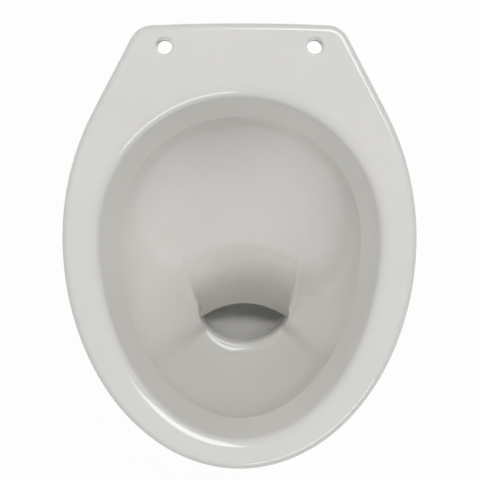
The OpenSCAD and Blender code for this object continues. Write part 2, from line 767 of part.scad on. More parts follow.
// How far its sides reach in under the pedestal's wall
foot_lap = 4;
module foot_plinth() {
    hollow = foot_ring(
        0, waist - pedestal_t - foot_lap, foot_front + foot_ring_w, foot_rear - foot_ring_w, pedestal_n);
    color(glaze) difference() {
        clay() difference() {
            loft([for (v = foot_edge)
                foot_ring(v[0], foot_w / 2 - v[1], foot_front + v[1], foot_rear - v[1], foot_n)]);
            loft([at(-past, hollow), at(foot_h + past, hollow)]);
        }
        for (side = [-1, 1])
            translate([side * floor_pitch / 2, floor_hole_y, -past])
                cylinder(d = floor_hole_d, h = foot_h + 2 * past);
    }
}
// Upright webs that carry the sump and the riser inside the pedestal
web_rear = crown_joint - 2 * web_t;
module support_webs() {
    color(biscuit) clay() difference() {
        intersection() {
            pedestal_body(pedestal_t);
            union() for (y = [sump_y, web_rear])
                translate([-far / 2, y - web_t / 2, foot_h]) cube([far, web_t, far]);
        }
        duct(trap_t);
        bowl_body();
        bowl_air();
    }
}
// Flanged bushes in the foot's screw holes
module floor_bushes() {
    color(nylon) for (side = [-1, 1]) translate([side * floor_pitch / 2, floor_hole_y, 0]) difference() {
        union() {
            cylinder(d = floor_hole_d - fit_gap, h = foot_h);
            translate([0, 0, foot_h]) cylinder(r = bush_flange_r, h = bush_flange_h);
        }
        translate([0, 0, -past]) cylinder(d = bush_bore, h = foot_h + bush_flange_h + 2 * past);
    }
}

rim_deck();
rim_skirt();
rim_lip();
channel_wall();
seat_hole_pads();
wash_ring();
bowl_shell();
sump_cup();
trap_riser();
trap_crown();
outlet_spigot();
flush_box();
flush_splitter();
inlet_horn();
inlet_seal();
pedestal_collar();
pedestal_shell();
foot_plinth();
support_webs();
floor_bushes();
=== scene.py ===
# Floor-standing washdown toilet bowl: the glazed pan, its bare china and its small fittings.
# Sizes are in metres. The pan stands on z = 0, its front tip faces -Y, and X = 0 is its middle plane.

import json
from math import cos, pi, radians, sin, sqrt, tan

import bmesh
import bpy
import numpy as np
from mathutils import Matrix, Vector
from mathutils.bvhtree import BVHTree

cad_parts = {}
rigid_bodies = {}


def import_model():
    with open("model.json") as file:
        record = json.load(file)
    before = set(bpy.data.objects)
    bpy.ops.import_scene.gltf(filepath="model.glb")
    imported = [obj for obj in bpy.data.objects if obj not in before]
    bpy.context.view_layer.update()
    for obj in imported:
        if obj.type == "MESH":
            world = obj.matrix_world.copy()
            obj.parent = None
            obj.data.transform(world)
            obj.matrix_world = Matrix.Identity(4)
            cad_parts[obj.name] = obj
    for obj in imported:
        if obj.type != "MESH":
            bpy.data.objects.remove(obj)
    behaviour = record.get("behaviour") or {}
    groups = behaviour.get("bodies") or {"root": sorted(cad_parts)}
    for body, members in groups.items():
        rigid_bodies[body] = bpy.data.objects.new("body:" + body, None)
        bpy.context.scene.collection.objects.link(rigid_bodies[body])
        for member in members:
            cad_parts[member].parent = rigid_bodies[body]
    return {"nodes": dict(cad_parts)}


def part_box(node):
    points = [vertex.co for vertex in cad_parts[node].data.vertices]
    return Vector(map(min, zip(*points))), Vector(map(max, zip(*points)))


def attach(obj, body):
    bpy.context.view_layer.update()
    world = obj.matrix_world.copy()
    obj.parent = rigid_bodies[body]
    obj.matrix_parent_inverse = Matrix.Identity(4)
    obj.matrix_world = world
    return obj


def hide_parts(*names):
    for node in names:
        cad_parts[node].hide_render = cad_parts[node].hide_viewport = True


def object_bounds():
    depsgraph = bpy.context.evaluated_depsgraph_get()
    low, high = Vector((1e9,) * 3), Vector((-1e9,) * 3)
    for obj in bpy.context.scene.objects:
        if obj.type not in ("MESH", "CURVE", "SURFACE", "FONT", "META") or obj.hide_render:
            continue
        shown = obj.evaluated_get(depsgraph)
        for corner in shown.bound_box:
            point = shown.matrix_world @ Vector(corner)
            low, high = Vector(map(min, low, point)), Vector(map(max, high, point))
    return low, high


bl_info = {
    "name": "Toilet Bowl",
    "version": (1, 0, 0),
    "blender": (4, 5, 0),
    "location": "3D View > Sidebar > Pan",
    "description": "Makes a washdown toilet bowl with its finishes, lamps and camera",
    "category": "Object",
}

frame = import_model()

CAD_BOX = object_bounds()
RIM_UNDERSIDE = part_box("rim_skirt")[0].z
RING_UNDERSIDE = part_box("wash_ring")[0].z
CHANNEL_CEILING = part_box("rim_deck")[0].z
FOOT_LOW, FOOT_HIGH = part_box("foot_plinth")
SPIGOT_LOW, SPIGOT_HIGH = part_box("outlet_spigot")
HORN_LOW, HORN_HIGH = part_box("inlet_horn")
OUTLET_Z = (SPIGOT_LOW.z + SPIGOT_HIGH.z) / 2
INLET_Z = (HORN_LOW.z + HORN_HIGH.z) / 2
HORN_RADIUS = (HORN_HIGH.x - HORN_LOW.x) / 2
SEAL_LOW, SEAL_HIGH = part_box("inlet_seal")
BOX_LOW, BOX_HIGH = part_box("flush_box")
BUSH_LOW, BUSH_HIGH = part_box("floor_bushes")

# Points round an outline, and steps of the rounded edges
AROUND = 240
EDGE_STEPS = 8
LATHE_STEPS = 96
# Faces that meet at more than this keep a crisp edge
CRISP_ANGLE = radians(32)
# How far a cutter runs past the face that it leaves
PAST = 0.001
# Slots of every china piece's materials
GLAZED, BARE = 0, 1
# The skin stands this far outside the bowl's own wall, so that it alone shows
SKIN_COVER = 0.00015


# Sizes and finishes that a user would change

def length(name, description, value, low=0.0):
    return bpy.props.FloatProperty(
        name=name, description=description, default=value, min=low, unit="LENGTH", precision=4)


def place(name, description, value):
    return length(name, description, value, -1.0)


def share(name, description, value, high=1.0):
    return bpy.props.FloatProperty(
        name=name, description=description, default=value, min=0.0, max=high, precision=3)


def angle(name, description, degrees):
    return bpy.props.FloatProperty(
        name=name, description=description, default=radians(degrees), unit="ROTATION")


def colour(name, description, value):
    return bpy.props.FloatVectorProperty(
        name=name, description=description, default=value, size=3, min=0.0, max=1.0, subtype="COLOR")


class PanRim(bpy.types.PropertyGroup):
    """Sizes of the rim and the seat deck."""
    width: length("Width", "Greatest width over the rim", CAD_BOX[1].x - CAD_BOX[0].x)
    depth: length("Length", "Length from the front tip to the back edge", CAD_BOX[1].y - CAD_BOX[0].y)
    height: length("Height", "Height of the rim top above the floor", CAD_BOX[1].z)
    widest: length("Widest line", "How far the widest line lies behind the middle", 0.010)
    flare: angle("Deck flare", "Angle of the deck's straight sides to the middle plane", 27.5)
    side_radius: length("Side radius", "Radius from the widest line into the straight sides", 0.280)
    corner_radius: length("Corner radius", "Radius of the two back corners", 0.025)
    crown: length("Back edge bulge", "Bulge of the back edge at its middle", 0.002)
    wall: length("Outer wall", "Thickness of the rim's outer wall", 0.009)
    lip_wall: length("Inner wall", "Thickness of the rim's leaning inner wall", 0.007)
    lean: length("Lean", "How far the inner wall leans in on its way down", 0.0135)
    edge_radius: length("Outer edge", "Rounding of the outer top edge", 0.008)
    open_radius: length("Inner edge", "Height of the rounding of the opening's top edge", 0.011)
    open_width: length("Inner edge width", "Width of that rounding, which starts softly on top", 0.016)
    under_radius: length("Lower edge", "Rounding of the rim's lower outer edge", 0.004)
    side_width: length("Side width", "Width of the rim beside the opening", 0.039)
    front_width: length("Front width", "Width of the rim in front of the opening", 0.032)
    deck_length: length("Deck length", "Length of the deck behind the opening", 0.0775)
    channel_rear: length("Rear channel", "Width of the flush channel behind the opening", 0.018)
    seat_pitch: length("Seat holes", "Distance between the two seat holes", 0.155)
    seat_back: length("Seat holes' setback", "Distance from the back edge to the seat holes", 0.0245)
    seat_hole: length("Seat hole", "Diameter of a seat hole", 0.0165)
    seat_edge: length("Seat hole edge", "Rounding at the mouth of a seat hole", 0.0025)
    wash_hole: length("Wash hole", "Diameter of a wash hole", 0.005)
    wash_holes: bpy.props.IntProperty(
        name="Wash holes", description="Number of wash holes round the ring", default=22, min=8)


class PanBowl(bpy.types.PropertyGroup):
    """Sizes of the bowl."""
    wall: length("Wall", "Thickness of the bowl's side and front walls", 0.011)
    slope_wall: length("Slope wall", "Upright thickness of the back slope", 0.020)
    undercut: length("Undercut", "How far the bowl's wall stands back under the lip", 0.017)
    cove: length("Cove", "Height of the cove that carries the outside out under the rim", 0.018)
    slope_rise: share("Slope", "Rise of the back slope for each metre towards the back", 0.36)
    dip_rise: share("Steep wall", "Rise of the steep wall over the dip lip", 1.5, 3.0)
    roll_y: place("Roll", "Y of the line where the slope rolls over into the steep wall", -0.018)
    roll_blend: length("Roll rounding", "How widely that roll is rounded", 0.029)
    shoulder_half: length("Shoulder", "Half width of the shoulder round the well", 0.071)
    shoulder_y: place("Shoulder middle", "Y of the shoulder's middle", -0.030)
    shoulder_front: length("Shoulder front", "Shoulder from its middle to its front", 0.094)
    shoulder_rear: length("Shoulder rear", "Shoulder from its middle to its rear", 0.060)
    shoulder_flare: share("Shoulder flare", "Widening of the shoulder towards the back", 0.1)
    shoulder_lift: length("Shoulder's lift", "How far the shoulder climbs from front to rear", 0.058)
    lift_lead: length("Lift's lead", "How far ahead of the mouth's corners the climb starts", 0.034)
    lift_rise: share("Lift's rise", "Rise of the shoulder for each metre towards the back", 0.56)
    shoulder_radius: length("Shoulder edge", "Rounding where the shoulder drops into the well", 0.008)
    drift: length("Drift", "How far the casting's mouth lies to the right of the middle plane", 0.0055)


class PanTrap(bpy.types.PropertyGroup):
    """Sizes of the mouth and the trap."""
    mouth_height: length("Shoulder height", "Height of the shoulder at its front", 0.182)
    mouth_half: length("Mouth", "Half width of the bowl's lower mouth", 0.051)
    mouth_y: place("Mouth corners", "Y of the mouth's corners", -0.088)
    mouth_front: length("Mouth front", "Mouth from its corners to its front", 0.029)
    mouth_arch: length("Mouth arch", "Mouth from its corners to the arched dip lip", 0.016)
    mouth_corner: angle("Mouth corner", "Angle at which the mouth's front runs into its corners", 18)
    dip_height: length("Dip lip", "Height of the arched dip lip", 0.148)
    nose_radius: length("Dip nose", "Radius of the dip lip's nose", 0.007)
    sump_floor: length("Sump floor", "Height of the sump's floor", 0.080)
    sump_half: length("Sump", "Half width of the sump", 0.054)
    riser_half: length("Riser", "Half width of the rising passage", 0.047)
    riser_angle: angle("Riser angle", "Slope of the rising passage", 42)
    weir_height: length("Weir", "Height of the weir", 0.197)
    weir_y: length("Weir place", "Y of the weir", 0.102)
    weir_radius: length("Weir crest", "Radius of the weir's crest", 0.020)
    weir_gap: length("Weir gap", "Height of the passage over the weir", 0.055)
    fall_angle: angle("Fall", "Slope of the fall behind the weir", 42)
    bend_radius: length("Bend", "Radius of the bend ahead of the outlet", 0.018)
    bend_run: length("Bend run", "Level run between the bend and the spigot", 0.012)
    wall: length("Wall", "Thickness of the trap's walls", 0.009)
    bore: length("Bore", "Bore of the outlet", 0.086)
    spigot: length("Spigot", "Outer diameter of the outlet spigot", 0.102)


class PanBase(bpy.types.PropertyGroup):
    """Sizes of the pedestal and its fittings."""
    waist: length("Waist", "Width of the pedestal at its waist", 0.166)
    wall: length("Wall", "Thickness of the pedestal's wall", 0.009)
    foot_step: length("Foot step", "How far the foot stands out in front of the pedestal", 0.014)
    collar_drop: length("Collar", "How far below the shoulder the pedestal's collar starts", 0.034)
    foot_ring: length("Foot ring", "Width of the foot's ring at its front and rear", 0.025)
    web: length("Web", "Thickness of the inner webs", 0.010)
    screw_y: length("Screw holes", "Y of the floor screw holes", 0.050)
    screw_pitch: length("Screw pitch", "Distance between the floor screw holes", 0.196)
    screw_hole: length("Screw hole", "Diameter of a floor screw hole in the foot", 0.012)
    bush_bore: length("Bush bore", "Bore of the nylon bushes", 0.007)
    horn_bore: length("Inlet bore", "Bore of the flush inlet", 0.055)
    pipe: length("Flush pipe", "Diameter of the flush pipe that the seal takes", 0.044)


class PanLooks(bpy.types.PropertyGroup):
    """Colours of the finishes and strength of the lamps."""
    glaze: colour("Glaze", "Colour of the glaze", (0.82, 0.811, 0.780))
    china: colour("Bare china", "Colour of the unglazed china", (0.60, 0.56, 0.48))
    rubber: colour("Rubber", "Colour of the inlet seal", (0.022, 0.022, 0.024))
    nylon: colour("Nylon", "Colour of the floor bushes", (0.72, 0.70, 0.64))
    sky: share("Sky", "Strength of the soft light from all round", 0.24, 5.0)
    key: share("Key lamp", "Radiance of the large soft lamp behind and above", 2.0, 100.0)
    front: share("Front lamp", "Radiance of the soft lamp in front", 3.6, 100.0)
    side: share("Side lamps", "Radiance of the right soft lamp; the left one has twice as much", 2.2, 100.0)
    glint: share("Glints", "Radiance of the lamps that only show in the glaze", 5.5, 100.0)
    sump: share("Sump lamp", "Radiance of the lamp that lights the sump alone", 16.0, 100.0)


GROUPS = {
    "pan_rim": PanRim, "pan_bowl": PanBowl, "pan_trap": PanTrap, "pan_base": PanBase,
    "pan_looks": PanLooks,
}


# Curves

def mix(a, b, t):
    return a + (b - a) * t


def smooth_step(v):
    v = np.clip(v, 0.0, 1.0)
    return v * v * (3 - 2 * v)


def soft_max(a, b, k):
    near = np.maximum(k - np.abs(a - b), 0) / k
    return np.maximum(a, b) + near * near * k / 4


def soft_min(a, b, k):
    return -soft_max(-a, -b, k)


def bulge(v, n):
    """A superellipse's coordinate for a share v of -1 to 1."""
    return np.sign(v) * np.abs(v) ** (2 / n)


def unit(v):
    return v / np.linalg.norm(v, axis=-1, keepdims=True)


def egg(turn, half, rear, front, y, n=2.0):
    up = np.sin(turn)
    reach = np.where(up >= 0, rear, front)
    return np.stack([half * bulge(np.cos(turn), n), y + reach * bulge(up, n)], axis=-1)


def egg_radius(turn, half, rear, front, n=2.0):
    """Distance from the egg's middle to its outline, in the direction of a turn."""
    reach = np.where(np.sin(turn) >= 0, rear, front)
    return (np.abs(np.cos(turn) / half) ** n + np.abs(np.sin(turn) / reach) ** n) ** (-1 / n)


def level(outline, z):
    """The outline's points at height z."""
    return np.column_stack([outline, np.broadcast_to(z, len(outline))])


def quarter(steps, start=0.0):
    """Angles of a quarter round."""
    return np.linspace(start, pi / 2, steps + 1)


def hermite(places, values, x):
    """Smooth curve through values given at places."""
    slopes = np.gradient(values, places)
    i = np.clip(np.searchsorted(places, x) - 1, 0, len(places) - 2)
    run = places[i + 1] - places[i]
    t = np.clip((x - places[i]) / run, 0, 1)
    return (values[i] * (1 + 2 * t) * (1 - t) ** 2 + values[i + 1] * t * t * (3 - 2 * t)
            + run * (slopes[i] * t * (1 - t) ** 2 - slopes[i + 1] * t * t * (1 - t)))


# The pan's own forms

class Pan:
    """Outlines and surfaces of the pan, worked out from the sizes in the panel."""
    # Share of a side wall's climb: flat at the shoulder, upright at the top
    CLIMB = 1.35
    SHOULDER_N = 2.5
    CREASE_FRONT, CREASE_REAR, CREASE_LENGTH = 0.060, -0.016, 0.060
    MOUTH_BLEND, SLOPE_BLEND, BLEND_LENGTH, LIFT_BLEND = 0.004, 0.016, 0.090, 0.026
    NEAR_MOUTH, WALL_FOOT, WELL_FLOOR = 0.008, 0.003, 0.014
    CORNER_TURN = radians(33)
    # Where the opening's rounded top edge takes over the lean of the wall below it
    EDGE_START = radians(12)
    FOOT_N, PEDESTAL_N, SUMP_N, RISER_N = 2.6, 2.8, 2.5, 2.4
    # The mouth's drift fades out above this height and behind this line
    DRIFT_TOP, DRIFT_REAR = 0.300, 0.050
    # Rings on each stretch of the bowl's inside, and of the passage behind it
    WALL_RINGS, SHOULDER_RINGS, WELL_RINGS = 34, 10, 15
    SUMP_RINGS, CROWN_RINGS, BEND_RINGS = 36, 18, 9
    # Shares of the way to the mouth: the shoulder's edge and the wall's foot end no further than these
    EDGE_SHARE, FOOT_SHARE = 0.93, 0.12
    # The arch's last ring stops just short of the dip lip, where the trap's first ring lies
    ARCH_SHARE = 0.97

    def __init__(self, scene):
        self.rim, self.bowl, self.trap, self.base = (
            scene.pan_rim, scene.pan_bowl, scene.pan_trap, scene.pan_base)
        rim, trap = self.rim, self.trap
        self.back, self.front = rim.depth / 2, -rim.depth / 2
        self.open_half = rim.width / 2 - rim.side_width
        self.open_rear = self.back - rim.deck_length - rim.widest
        self.open_front = rim.widest - self.front - rim.front_width
        self.seat_y = self.back - rim.seat_back
        # How far the bowl's top stands out from the opening's top edge
        self.bowl_top = self.bowl.undercut - rim.lean
        self.dip_y = trap.mouth_y + trap.mouth_arch
        self.sump_y = self.dip_y + trap.nose_radius
        # The slope's hollow from side to side follows the dip lip's arch
        self.hollow_radius = trap.mouth_half ** 2 / (2 * trap.mouth_arch)
        self.collar = trap.mouth_height - self.base.collar_drop
        arch = np.linspace(-self.CORNER_TURN, pi + self.CORNER_TURN, AROUND * 2 // 3, endpoint=False)
        rest = np.linspace(
            pi + self.CORNER_TURN, 2 * pi - self.CORNER_TURN, AROUND // 3, endpoint=False)
        self.turns = np.concatenate([arch, rest])
        self.even = np.linspace(0, 2 * pi, AROUND, endpoint=False)
        self.mouth_turns = self.mouth_turn(self.turns)
        self.screws = [(side * self.base.screw_pitch / 2, self.base.screw_y, 0) for side in (-1, 1)]

    # Rim

    def opening(self, grow, turns=None):
        turns = self.turns if turns is None else turns
        return egg(turns, self.open_half + grow, self.open_rear + grow, self.open_front + grow,
                   self.rim.widest)

    def channel_line(self, grow):
        """Outer line of the flush channel: it follows the rim at the front and sides."""
        return egg(self.even, *self.channel_reach(grow), self.rim.widest)

    def channel_reach(self, grow):
        rim = self.rim
        inside = grow - rim.wall
        return rim.width / 2 + inside, self.open_rear + rim.channel_rear + grow, \
            rim.widest - self.front + inside

    def rim_outline(self, inside):
        """The rim's outline, moved in by a distance."""
        rim = self.rim
        half = rim.width / 2
        flare_x = half - rim.side_radius * (1 - cos(rim.flare))
        flare_y = rim.widest + rim.side_radius * sin(rim.flare)
        back = self.back - rim.crown
        corner_y = back - rim.corner_radius
        corner_x = (flare_x - (corner_y - flare_y) * tan(rim.flare)
                    - rim.corner_radius / cos(rim.flare))
        front = np.linspace(-pi / 2, 0, AROUND // 4 + 1)
        side = np.linspace(0, rim.flare, EDGE_STEPS + 1)[1:]
        corner = np.linspace(rim.flare, pi / 2, 2 * EDGE_STEPS + 1)
        across = np.linspace(0, 1, EDGE_STEPS + 1)[1:]
        x = np.concatenate([
            (half - inside) * np.cos(front),
            half - rim.side_radius + (rim.side_radius - inside) * np.cos(side),
            corner_x + (rim.corner_radius - inside) * np.cos(corner),
            corner_x * (1 - across)])
        y = np.concatenate([
            rim.widest + (rim.widest - self.front - inside) * np.sin(front),
            rim.widest + (rim.side_radius - inside) * np.sin(side),
            corner_y + (rim.corner_radius - inside) * np.sin(corner),
            back - inside + rim.crown * (1 - (1 - across) ** 2)])
        return np.concatenate([np.column_stack([x, y]), np.column_stack([-x, y])[-2:0:-1]])

    def rim_body(self):
        rim = self.rim
        a = quarter(EDGE_STEPS)
        under = [level(self.rim_outline(rim.under_radius * (1 - sin(b))),
                       RIM_UNDERSIDE + rim.under_radius * (1 - cos(b))) for b in a]
        over = [level(self.rim_outline(rim.edge_radius * (1 - sin(b))),
                      rim.height - rim.edge_radius * (1 - cos(b))) for b in a[::-1]]
        return under + over

    def opening_air(self):
        """The air inside the opening: a bullnosed lip, a leaning wall and a rounded top edge."""
        rim = self.rim
        nose = rim.lip_wall / 2
        low = RING_UNDERSIDE + nose
        lip = [level(self.opening(nose * (1 - cos(b)) - rim.lean), low - nose * sin(b))
               for b in quarter(EDGE_STEPS)[::-1]]
        edge = [level(self.opening(rim.open_width * (1 - cos(b))),
                      rim.height - rim.open_radius * (1 - sin(b)))
                for b in quarter(EDGE_STEPS, self.EDGE_START)]
        return [level(self.opening(nose - rim.lean), RING_UNDERSIDE - PAST)] + lip + edge + [
            level(self.opening(rim.open_width), rim.height + PAST)]

    def lap(self):
        """Outside of the lip where it laps down over the wash ring."""
        rim = self.rim
        nose = rim.lip_wall / 2
        return [level(self.opening(rim.lip_wall - rim.lean - nose * (1 - sin(b))),
                      RING_UNDERSIDE + nose * (1 - cos(b)))
                for b in quarter(EDGE_STEPS)] + [
            level(self.opening(rim.lip_wall - rim.lean), RIM_UNDERSIDE + PAST)]

    # Bowl, seen from inside

    def slope(self, p):
        """Height of the back slope and of the steep wall over the dip lip."""
        bowl, dip = self.bowl, self.trap.dip_height
        v = p[:, 1] + p[:, 0] ** 2 / (2 * self.hollow_radius)
        roll = dip + bowl.dip_rise * (bowl.roll_y - self.dip_y)
        return soft_min(dip + bowl.dip_rise * (v - self.dip_y),
                        roll + bowl.slope_rise * (v - bowl.roll_y), bowl.roll_blend)

    def shoulder(self, turns):
        bowl = self.bowl
        up = np.sin(turns)
        reach = np.where(up >= 0, bowl.shoulder_rear, bowl.shoulder_front) * bulge(up, self.SHOULDER_N)
        soft = 0.010
        widening = bowl.shoulder_flare * (2 * reach + np.sqrt(reach ** 2 + soft ** 2) - soft)
        return np.stack([(bowl.shoulder_half + widening) * bulge(np.cos(turns), self.SHOULDER_N),
                         bowl.shoulder_y + reach], axis=-1)

    def shoulder_height(self, p):
        """Height of the shoulder, which climbs from the front till it dips under the slope."""
        bowl, trap = self.bowl, self.trap
        behind = p[:, 1] - trap.mouth_y
        climb = soft_min(soft_max(bowl.lift_rise * (behind + bowl.lift_lead), 0, self.LIFT_BLEND),
                         bowl.shoulder_lift, bowl.shoulder_radius)
        above = mix(self.CREASE_FRONT, self.CREASE_REAR,
                    smooth_step((behind - trap.mouth_front) / self.CREASE_LENGTH))
        crease = soft_max(self.slope(p) + above, trap.mouth_height, self.MOUTH_BLEND)
        return soft_min(trap.mouth_height + climb, crease, bowl.shoulder_radius)

    def crease_blend(self, p):
        """How softly two surfaces meet: sharp at the mouth, round further back."""
        return mix(self.MOUTH_BLEND, self.SLOPE_BLEND,
                   smooth_step((p[:, 1] - self.trap.mouth_y) / self.BLEND_LENGTH))

    def mouth_turn(self, turns):
        """The turn round the mouth that faces a turn round the shoulder."""
        corner = self.CORNER_TURN
        arch = pi + 2 * corner
        return np.where(turns <= pi + corner, pi * (turns + corner) / arch,
                        pi + pi * (turns - pi - corner) / (2 * pi - arch))

    def lens(self):
        """The mouth's outline as shares of its width and depth: its first half turn is the arch."""
        trap = self.trap
        corner = 2 * trap.mouth_front / (trap.mouth_front + trap.mouth_arch) - 1
        turn = self.mouth_turns
        low = sin(trap.mouth_corner)
        a = trap.mouth_corner + (pi - 2 * trap.mouth_corner) * (turn - pi) / pi
        across = np.where(turn <= pi, np.cos(turn), -np.cos(a) / cos(trap.mouth_corner))
        along = np.where(turn <= pi, mix(corner, 1, np.sin(turn) ** 2),
                         mix(corner, -1, (np.sin(a) - low) / (1 - low)))
        return across, along

    def mouth(self):
        trap = self.trap
        across, along = self.lens()
        depth = trap.mouth_front + trap.mouth_arch
        return np.stack([
            trap.mouth_half * across, trap.mouth_y - trap.mouth_front + depth * (1 + along) / 2], axis=-1)

    def into_well(self, shoulder, mouth):
        """Directions from the shoulder into the well: to the mouth where that is near, else square in."""
        step = radians(1)
        along = self.shoulder(self.turns + step) - self.shoulder(self.turns - step)
        to_mouth = mouth - shoulder
        far = np.linalg.norm(to_mouth, axis=-1, keepdims=True)
        square_in = smooth_step((far - self.NEAR_MOUTH) / (2 * self.NEAR_MOUTH))
        square = unit(np.stack([-along[:, 1], along[:, 0]], axis=-1))
        return unit(mix(unit(to_mouth), square, square_in)), far

    def bowl_rings(self):
        """Rings of the bowl's inside, from the top down to the edge of the mouth."""
        bowl, trap = self.bowl, self.trap
        top = self.opening(self.bowl_top)
        shoulder, mouth = self.shoulder(self.turns), self.mouth()
        height = self.shoulder_height(shoulder)
        rings = [level(top, RING_UNDERSIDE + PAST), level(top, RING_UNDERSIDE)]
        for a in quarter(self.WALL_RINGS)[-2::-1]:
            s = sin(a) ** (2 / self.CLIMB)
            p = mix(shoulder, top, s)
            side = mix(height, RING_UNDERSIDE, 1 - cos(a))
            rings.append(level(p, np.minimum(
                RING_UNDERSIDE, soft_max(side, self.slope(p), self.crease_blend(p)))))
        inward, far = self.into_well(shoulder, mouth)
        reach = np.minimum(bowl.shoulder_radius, self.EDGE_SHARE * far)
        for a in quarter(self.SHOULDER_RINGS)[1:]:
            p = shoulder + inward * reach * sin(a)
            drop = bowl.shoulder_radius * (1 - cos(a))
            rings.append(level(p, soft_max(height - drop, self.slope(p), self.crease_blend(p))))
        edge = shoulder + inward * reach
        room = np.linalg.norm(mouth - edge, axis=-1, keepdims=True)
        foot = edge + inward * np.minimum(self.WALL_FOOT, self.FOOT_SHARE * room)
        in_front = self.mouth_turns > pi
        low = np.where(in_front, trap.mouth_height - bowl.shoulder_radius - PAST, trap.dip_height)
        for t in np.linspace(0, 1, self.WELL_RINGS):
            p = mix(foot, mouth, np.where(in_front, t, self.ARCH_SHARE * t)[:, None])
            rings.append(level(p, np.maximum(low, self.slope(p))))
        return rings

    def bowl_body(self):
        """Rings of the bowl's outside, from under the mouth to the top."""
        bowl = self.bowl
        top = self.opening(self.bowl_top)
        shoulder, mouth = self.shoulder(self.turns), self.mouth()
        height = self.shoulder_height(shoulder)
        rings = []
        for t in (0, 0.2, 0.4, 0.6, 0.8):
            p = mix(mouth, shoulder, t)
            back = np.clip((p[:, 1] - self.trap.mouth_y) / self.NEAR_MOUTH, 0, 1)
            z = mix(self.trap.mouth_height - self.WELL_FLOOR, self.slope(p) - bowl.slope_wall, back)
            rings.append(level(p, np.minimum(z, height - bowl.wall)))
        ahead = np.roll(top, -1, axis=0) - np.roll(top, 1, axis=0)
        away = unit(np.stack([ahead[:, 1], -ahead[:, 0]], axis=-1))
        run = np.linalg.norm(top - shoulder, axis=-1)
        limit = RING_UNDERSIDE - bowl.cove - PAST
        for a in quarter(26)[:-1]:
            s = sin(a) ** (2 / self.CLIMB)
            low, high = max(0.0, s - 0.01), min(1.0, s + 0.01)
            climb_rate = (self.climb(high) - self.climb(low)) / (high - low)
            rise = (RING_UNDERSIDE - height) * climb_rate
            slant = np.hypot(run, rise)
            q = mix(shoulder, top, s) + away * (bowl.wall * rise / slant)[:, None]
            side = mix(height, RING_UNDERSIDE, self.climb(s)) - bowl.wall * run / slant
            rings.append(level(q, np.minimum(limit, np.maximum(side, self.slope(q) - bowl.slope_wall))))
        outside = self.opening(self.bowl_top + bowl.wall)
        seat = mix(RING_UNDERSIDE, RIM_UNDERSIDE, 0.5)
        return rings + [level(outside, limit + PAST), level(outside, seat)]

    def climb(self, s):
        return 1 - sqrt(max(0.0, 1 - s ** self.CLIMB))

    # Trap

    def station_ring(self, floor, ceiling, half, n, of_mouth):
        """A ring of the passage, between a floor point and a ceiling point of the middle plane."""
        turn = self.mouth_turns
        lens_across, lens_along = self.lens()
        across = mix(bulge(np.cos(turn), n), lens_across, of_mouth) * half
        up = (1 + mix(bulge(np.sin(turn), n), lens_along, of_mouth)) / 2
        return np.stack([across, mix(floor[0], ceiling[0], up), mix(floor[1], ceiling[1], up)], axis=-1)

    def sump_station(self, a, out, lift=None):
        """Under the dip lip, turned by a from level to the riser's slope."""
        trap = self.trap
        down = trap.dip_height - trap.sump_floor + out
        ahead = self.sump_y - (trap.mouth_y - trap.mouth_front) + out
        reach = ahead if a <= pi / 2 else down
        nose = max(PAST, trap.nose_radius - out)
        t = a / (pi / 2 + trap.riser_angle)
        floor = [self.sump_y - reach * cos(a), trap.dip_height - down * sin(a)]
        ceiling = [self.sump_y - nose * cos(a), trap.dip_height - nose * sin(a)]
        if lift is not None:
            floor[1] = ceiling[1] = lift
        half = mix(trap.mouth_half, trap.sump_half, min(1, 2 * t)) + out
        return self.station_ring(floor, ceiling, half, mix(2, self.SUMP_N, t), max(0, 1 - 2 * t))

    def crown_station(self, a, out):
        trap = self.trap
        low, high = trap.weir_radius - out, trap.weir_radius + trap.weir_gap + out
        c = trap.weir_height - trap.weir_radius
        return self.station_ring(
            (trap.weir_y - low * sin(a), c + low * cos(a)),
            (trap.weir_y - high * sin(a), c + high * cos(a)), trap.riser_half + out, self.RISER_N, 0)

    def bend_station(self, a, out, end=None):
        trap = self.trap
        bore, y = trap.bore / 2, SPIGOT_LOW.y - trap.bend_run
        c = OUTLET_Z + bore + trap.bend_radius
        high, low = trap.bend_radius - out, trap.bend_radius + 2 * bore + out
        t = a / trap.fall_angle
        floor = (end if end else y - low * sin(a), c - low * cos(a))
        ceiling = (end if end else y - high * sin(a), c - high * cos(a))
        return self.station_ring(floor, ceiling, mix(bore, trap.riser_half, t) + out,
                                 mix(2, self.RISER_N, t), 0)

    def passage(self, out):
        """Rings of the passage, its walls moved out, from the dip lip to the spigot."""
        trap = self.trap
        stretches = (
            (self.sump_station, 0, pi / 2 + trap.riser_angle, self.SUMP_RINGS),
            (self.crown_station, trap.riser_angle, -trap.fall_angle, self.CROWN_RINGS),
            (self.bend_station, trap.fall_angle, 0, self.BEND_RINGS))
        rings = [station(a, out) for station, first, last, count in stretches
                 for a in np.linspace(first, last, count)]
        return rings + [self.bend_station(0, out, SPIGOT_LOW.y)]

    def drifted(self, rings):
        """The casting's mouth stands a little to one side."""
        rings = np.array(rings)
        fade = (smooth_step((self.DRIFT_TOP - rings[..., 2]) / (self.DRIFT_TOP - self.trap.mouth_height))
                * smooth_step((self.DRIFT_REAR - rings[..., 1]) / (self.DRIFT_REAR - self.sump_y)))
        rings[..., 0] += self.bowl.drift * fade
        return rings

    def waterway(self):
        """The air from the bowl's top to the spigot, as one skin."""
        end = self.bend_station(0, 0, SPIGOT_LOW.y + PAST)
        return self.drifted(self.bowl_rings() + self.passage(0) + [end])

    def duct(self):
        """Outside of the trap's castings."""
        start = self.sump_station(0, self.trap.wall, self.trap.mouth_height - 2 * PAST)
        return self.drifted([start] + self.passage(self.trap.wall))

    # Pedestal

    def pedestal_reach(self, z, inside):
        """Half width, rear and front of the pedestal's outline at a height, moved in by a distance."""
        foot, mouth = FOOT_HIGH.z, self.trap.mouth_height
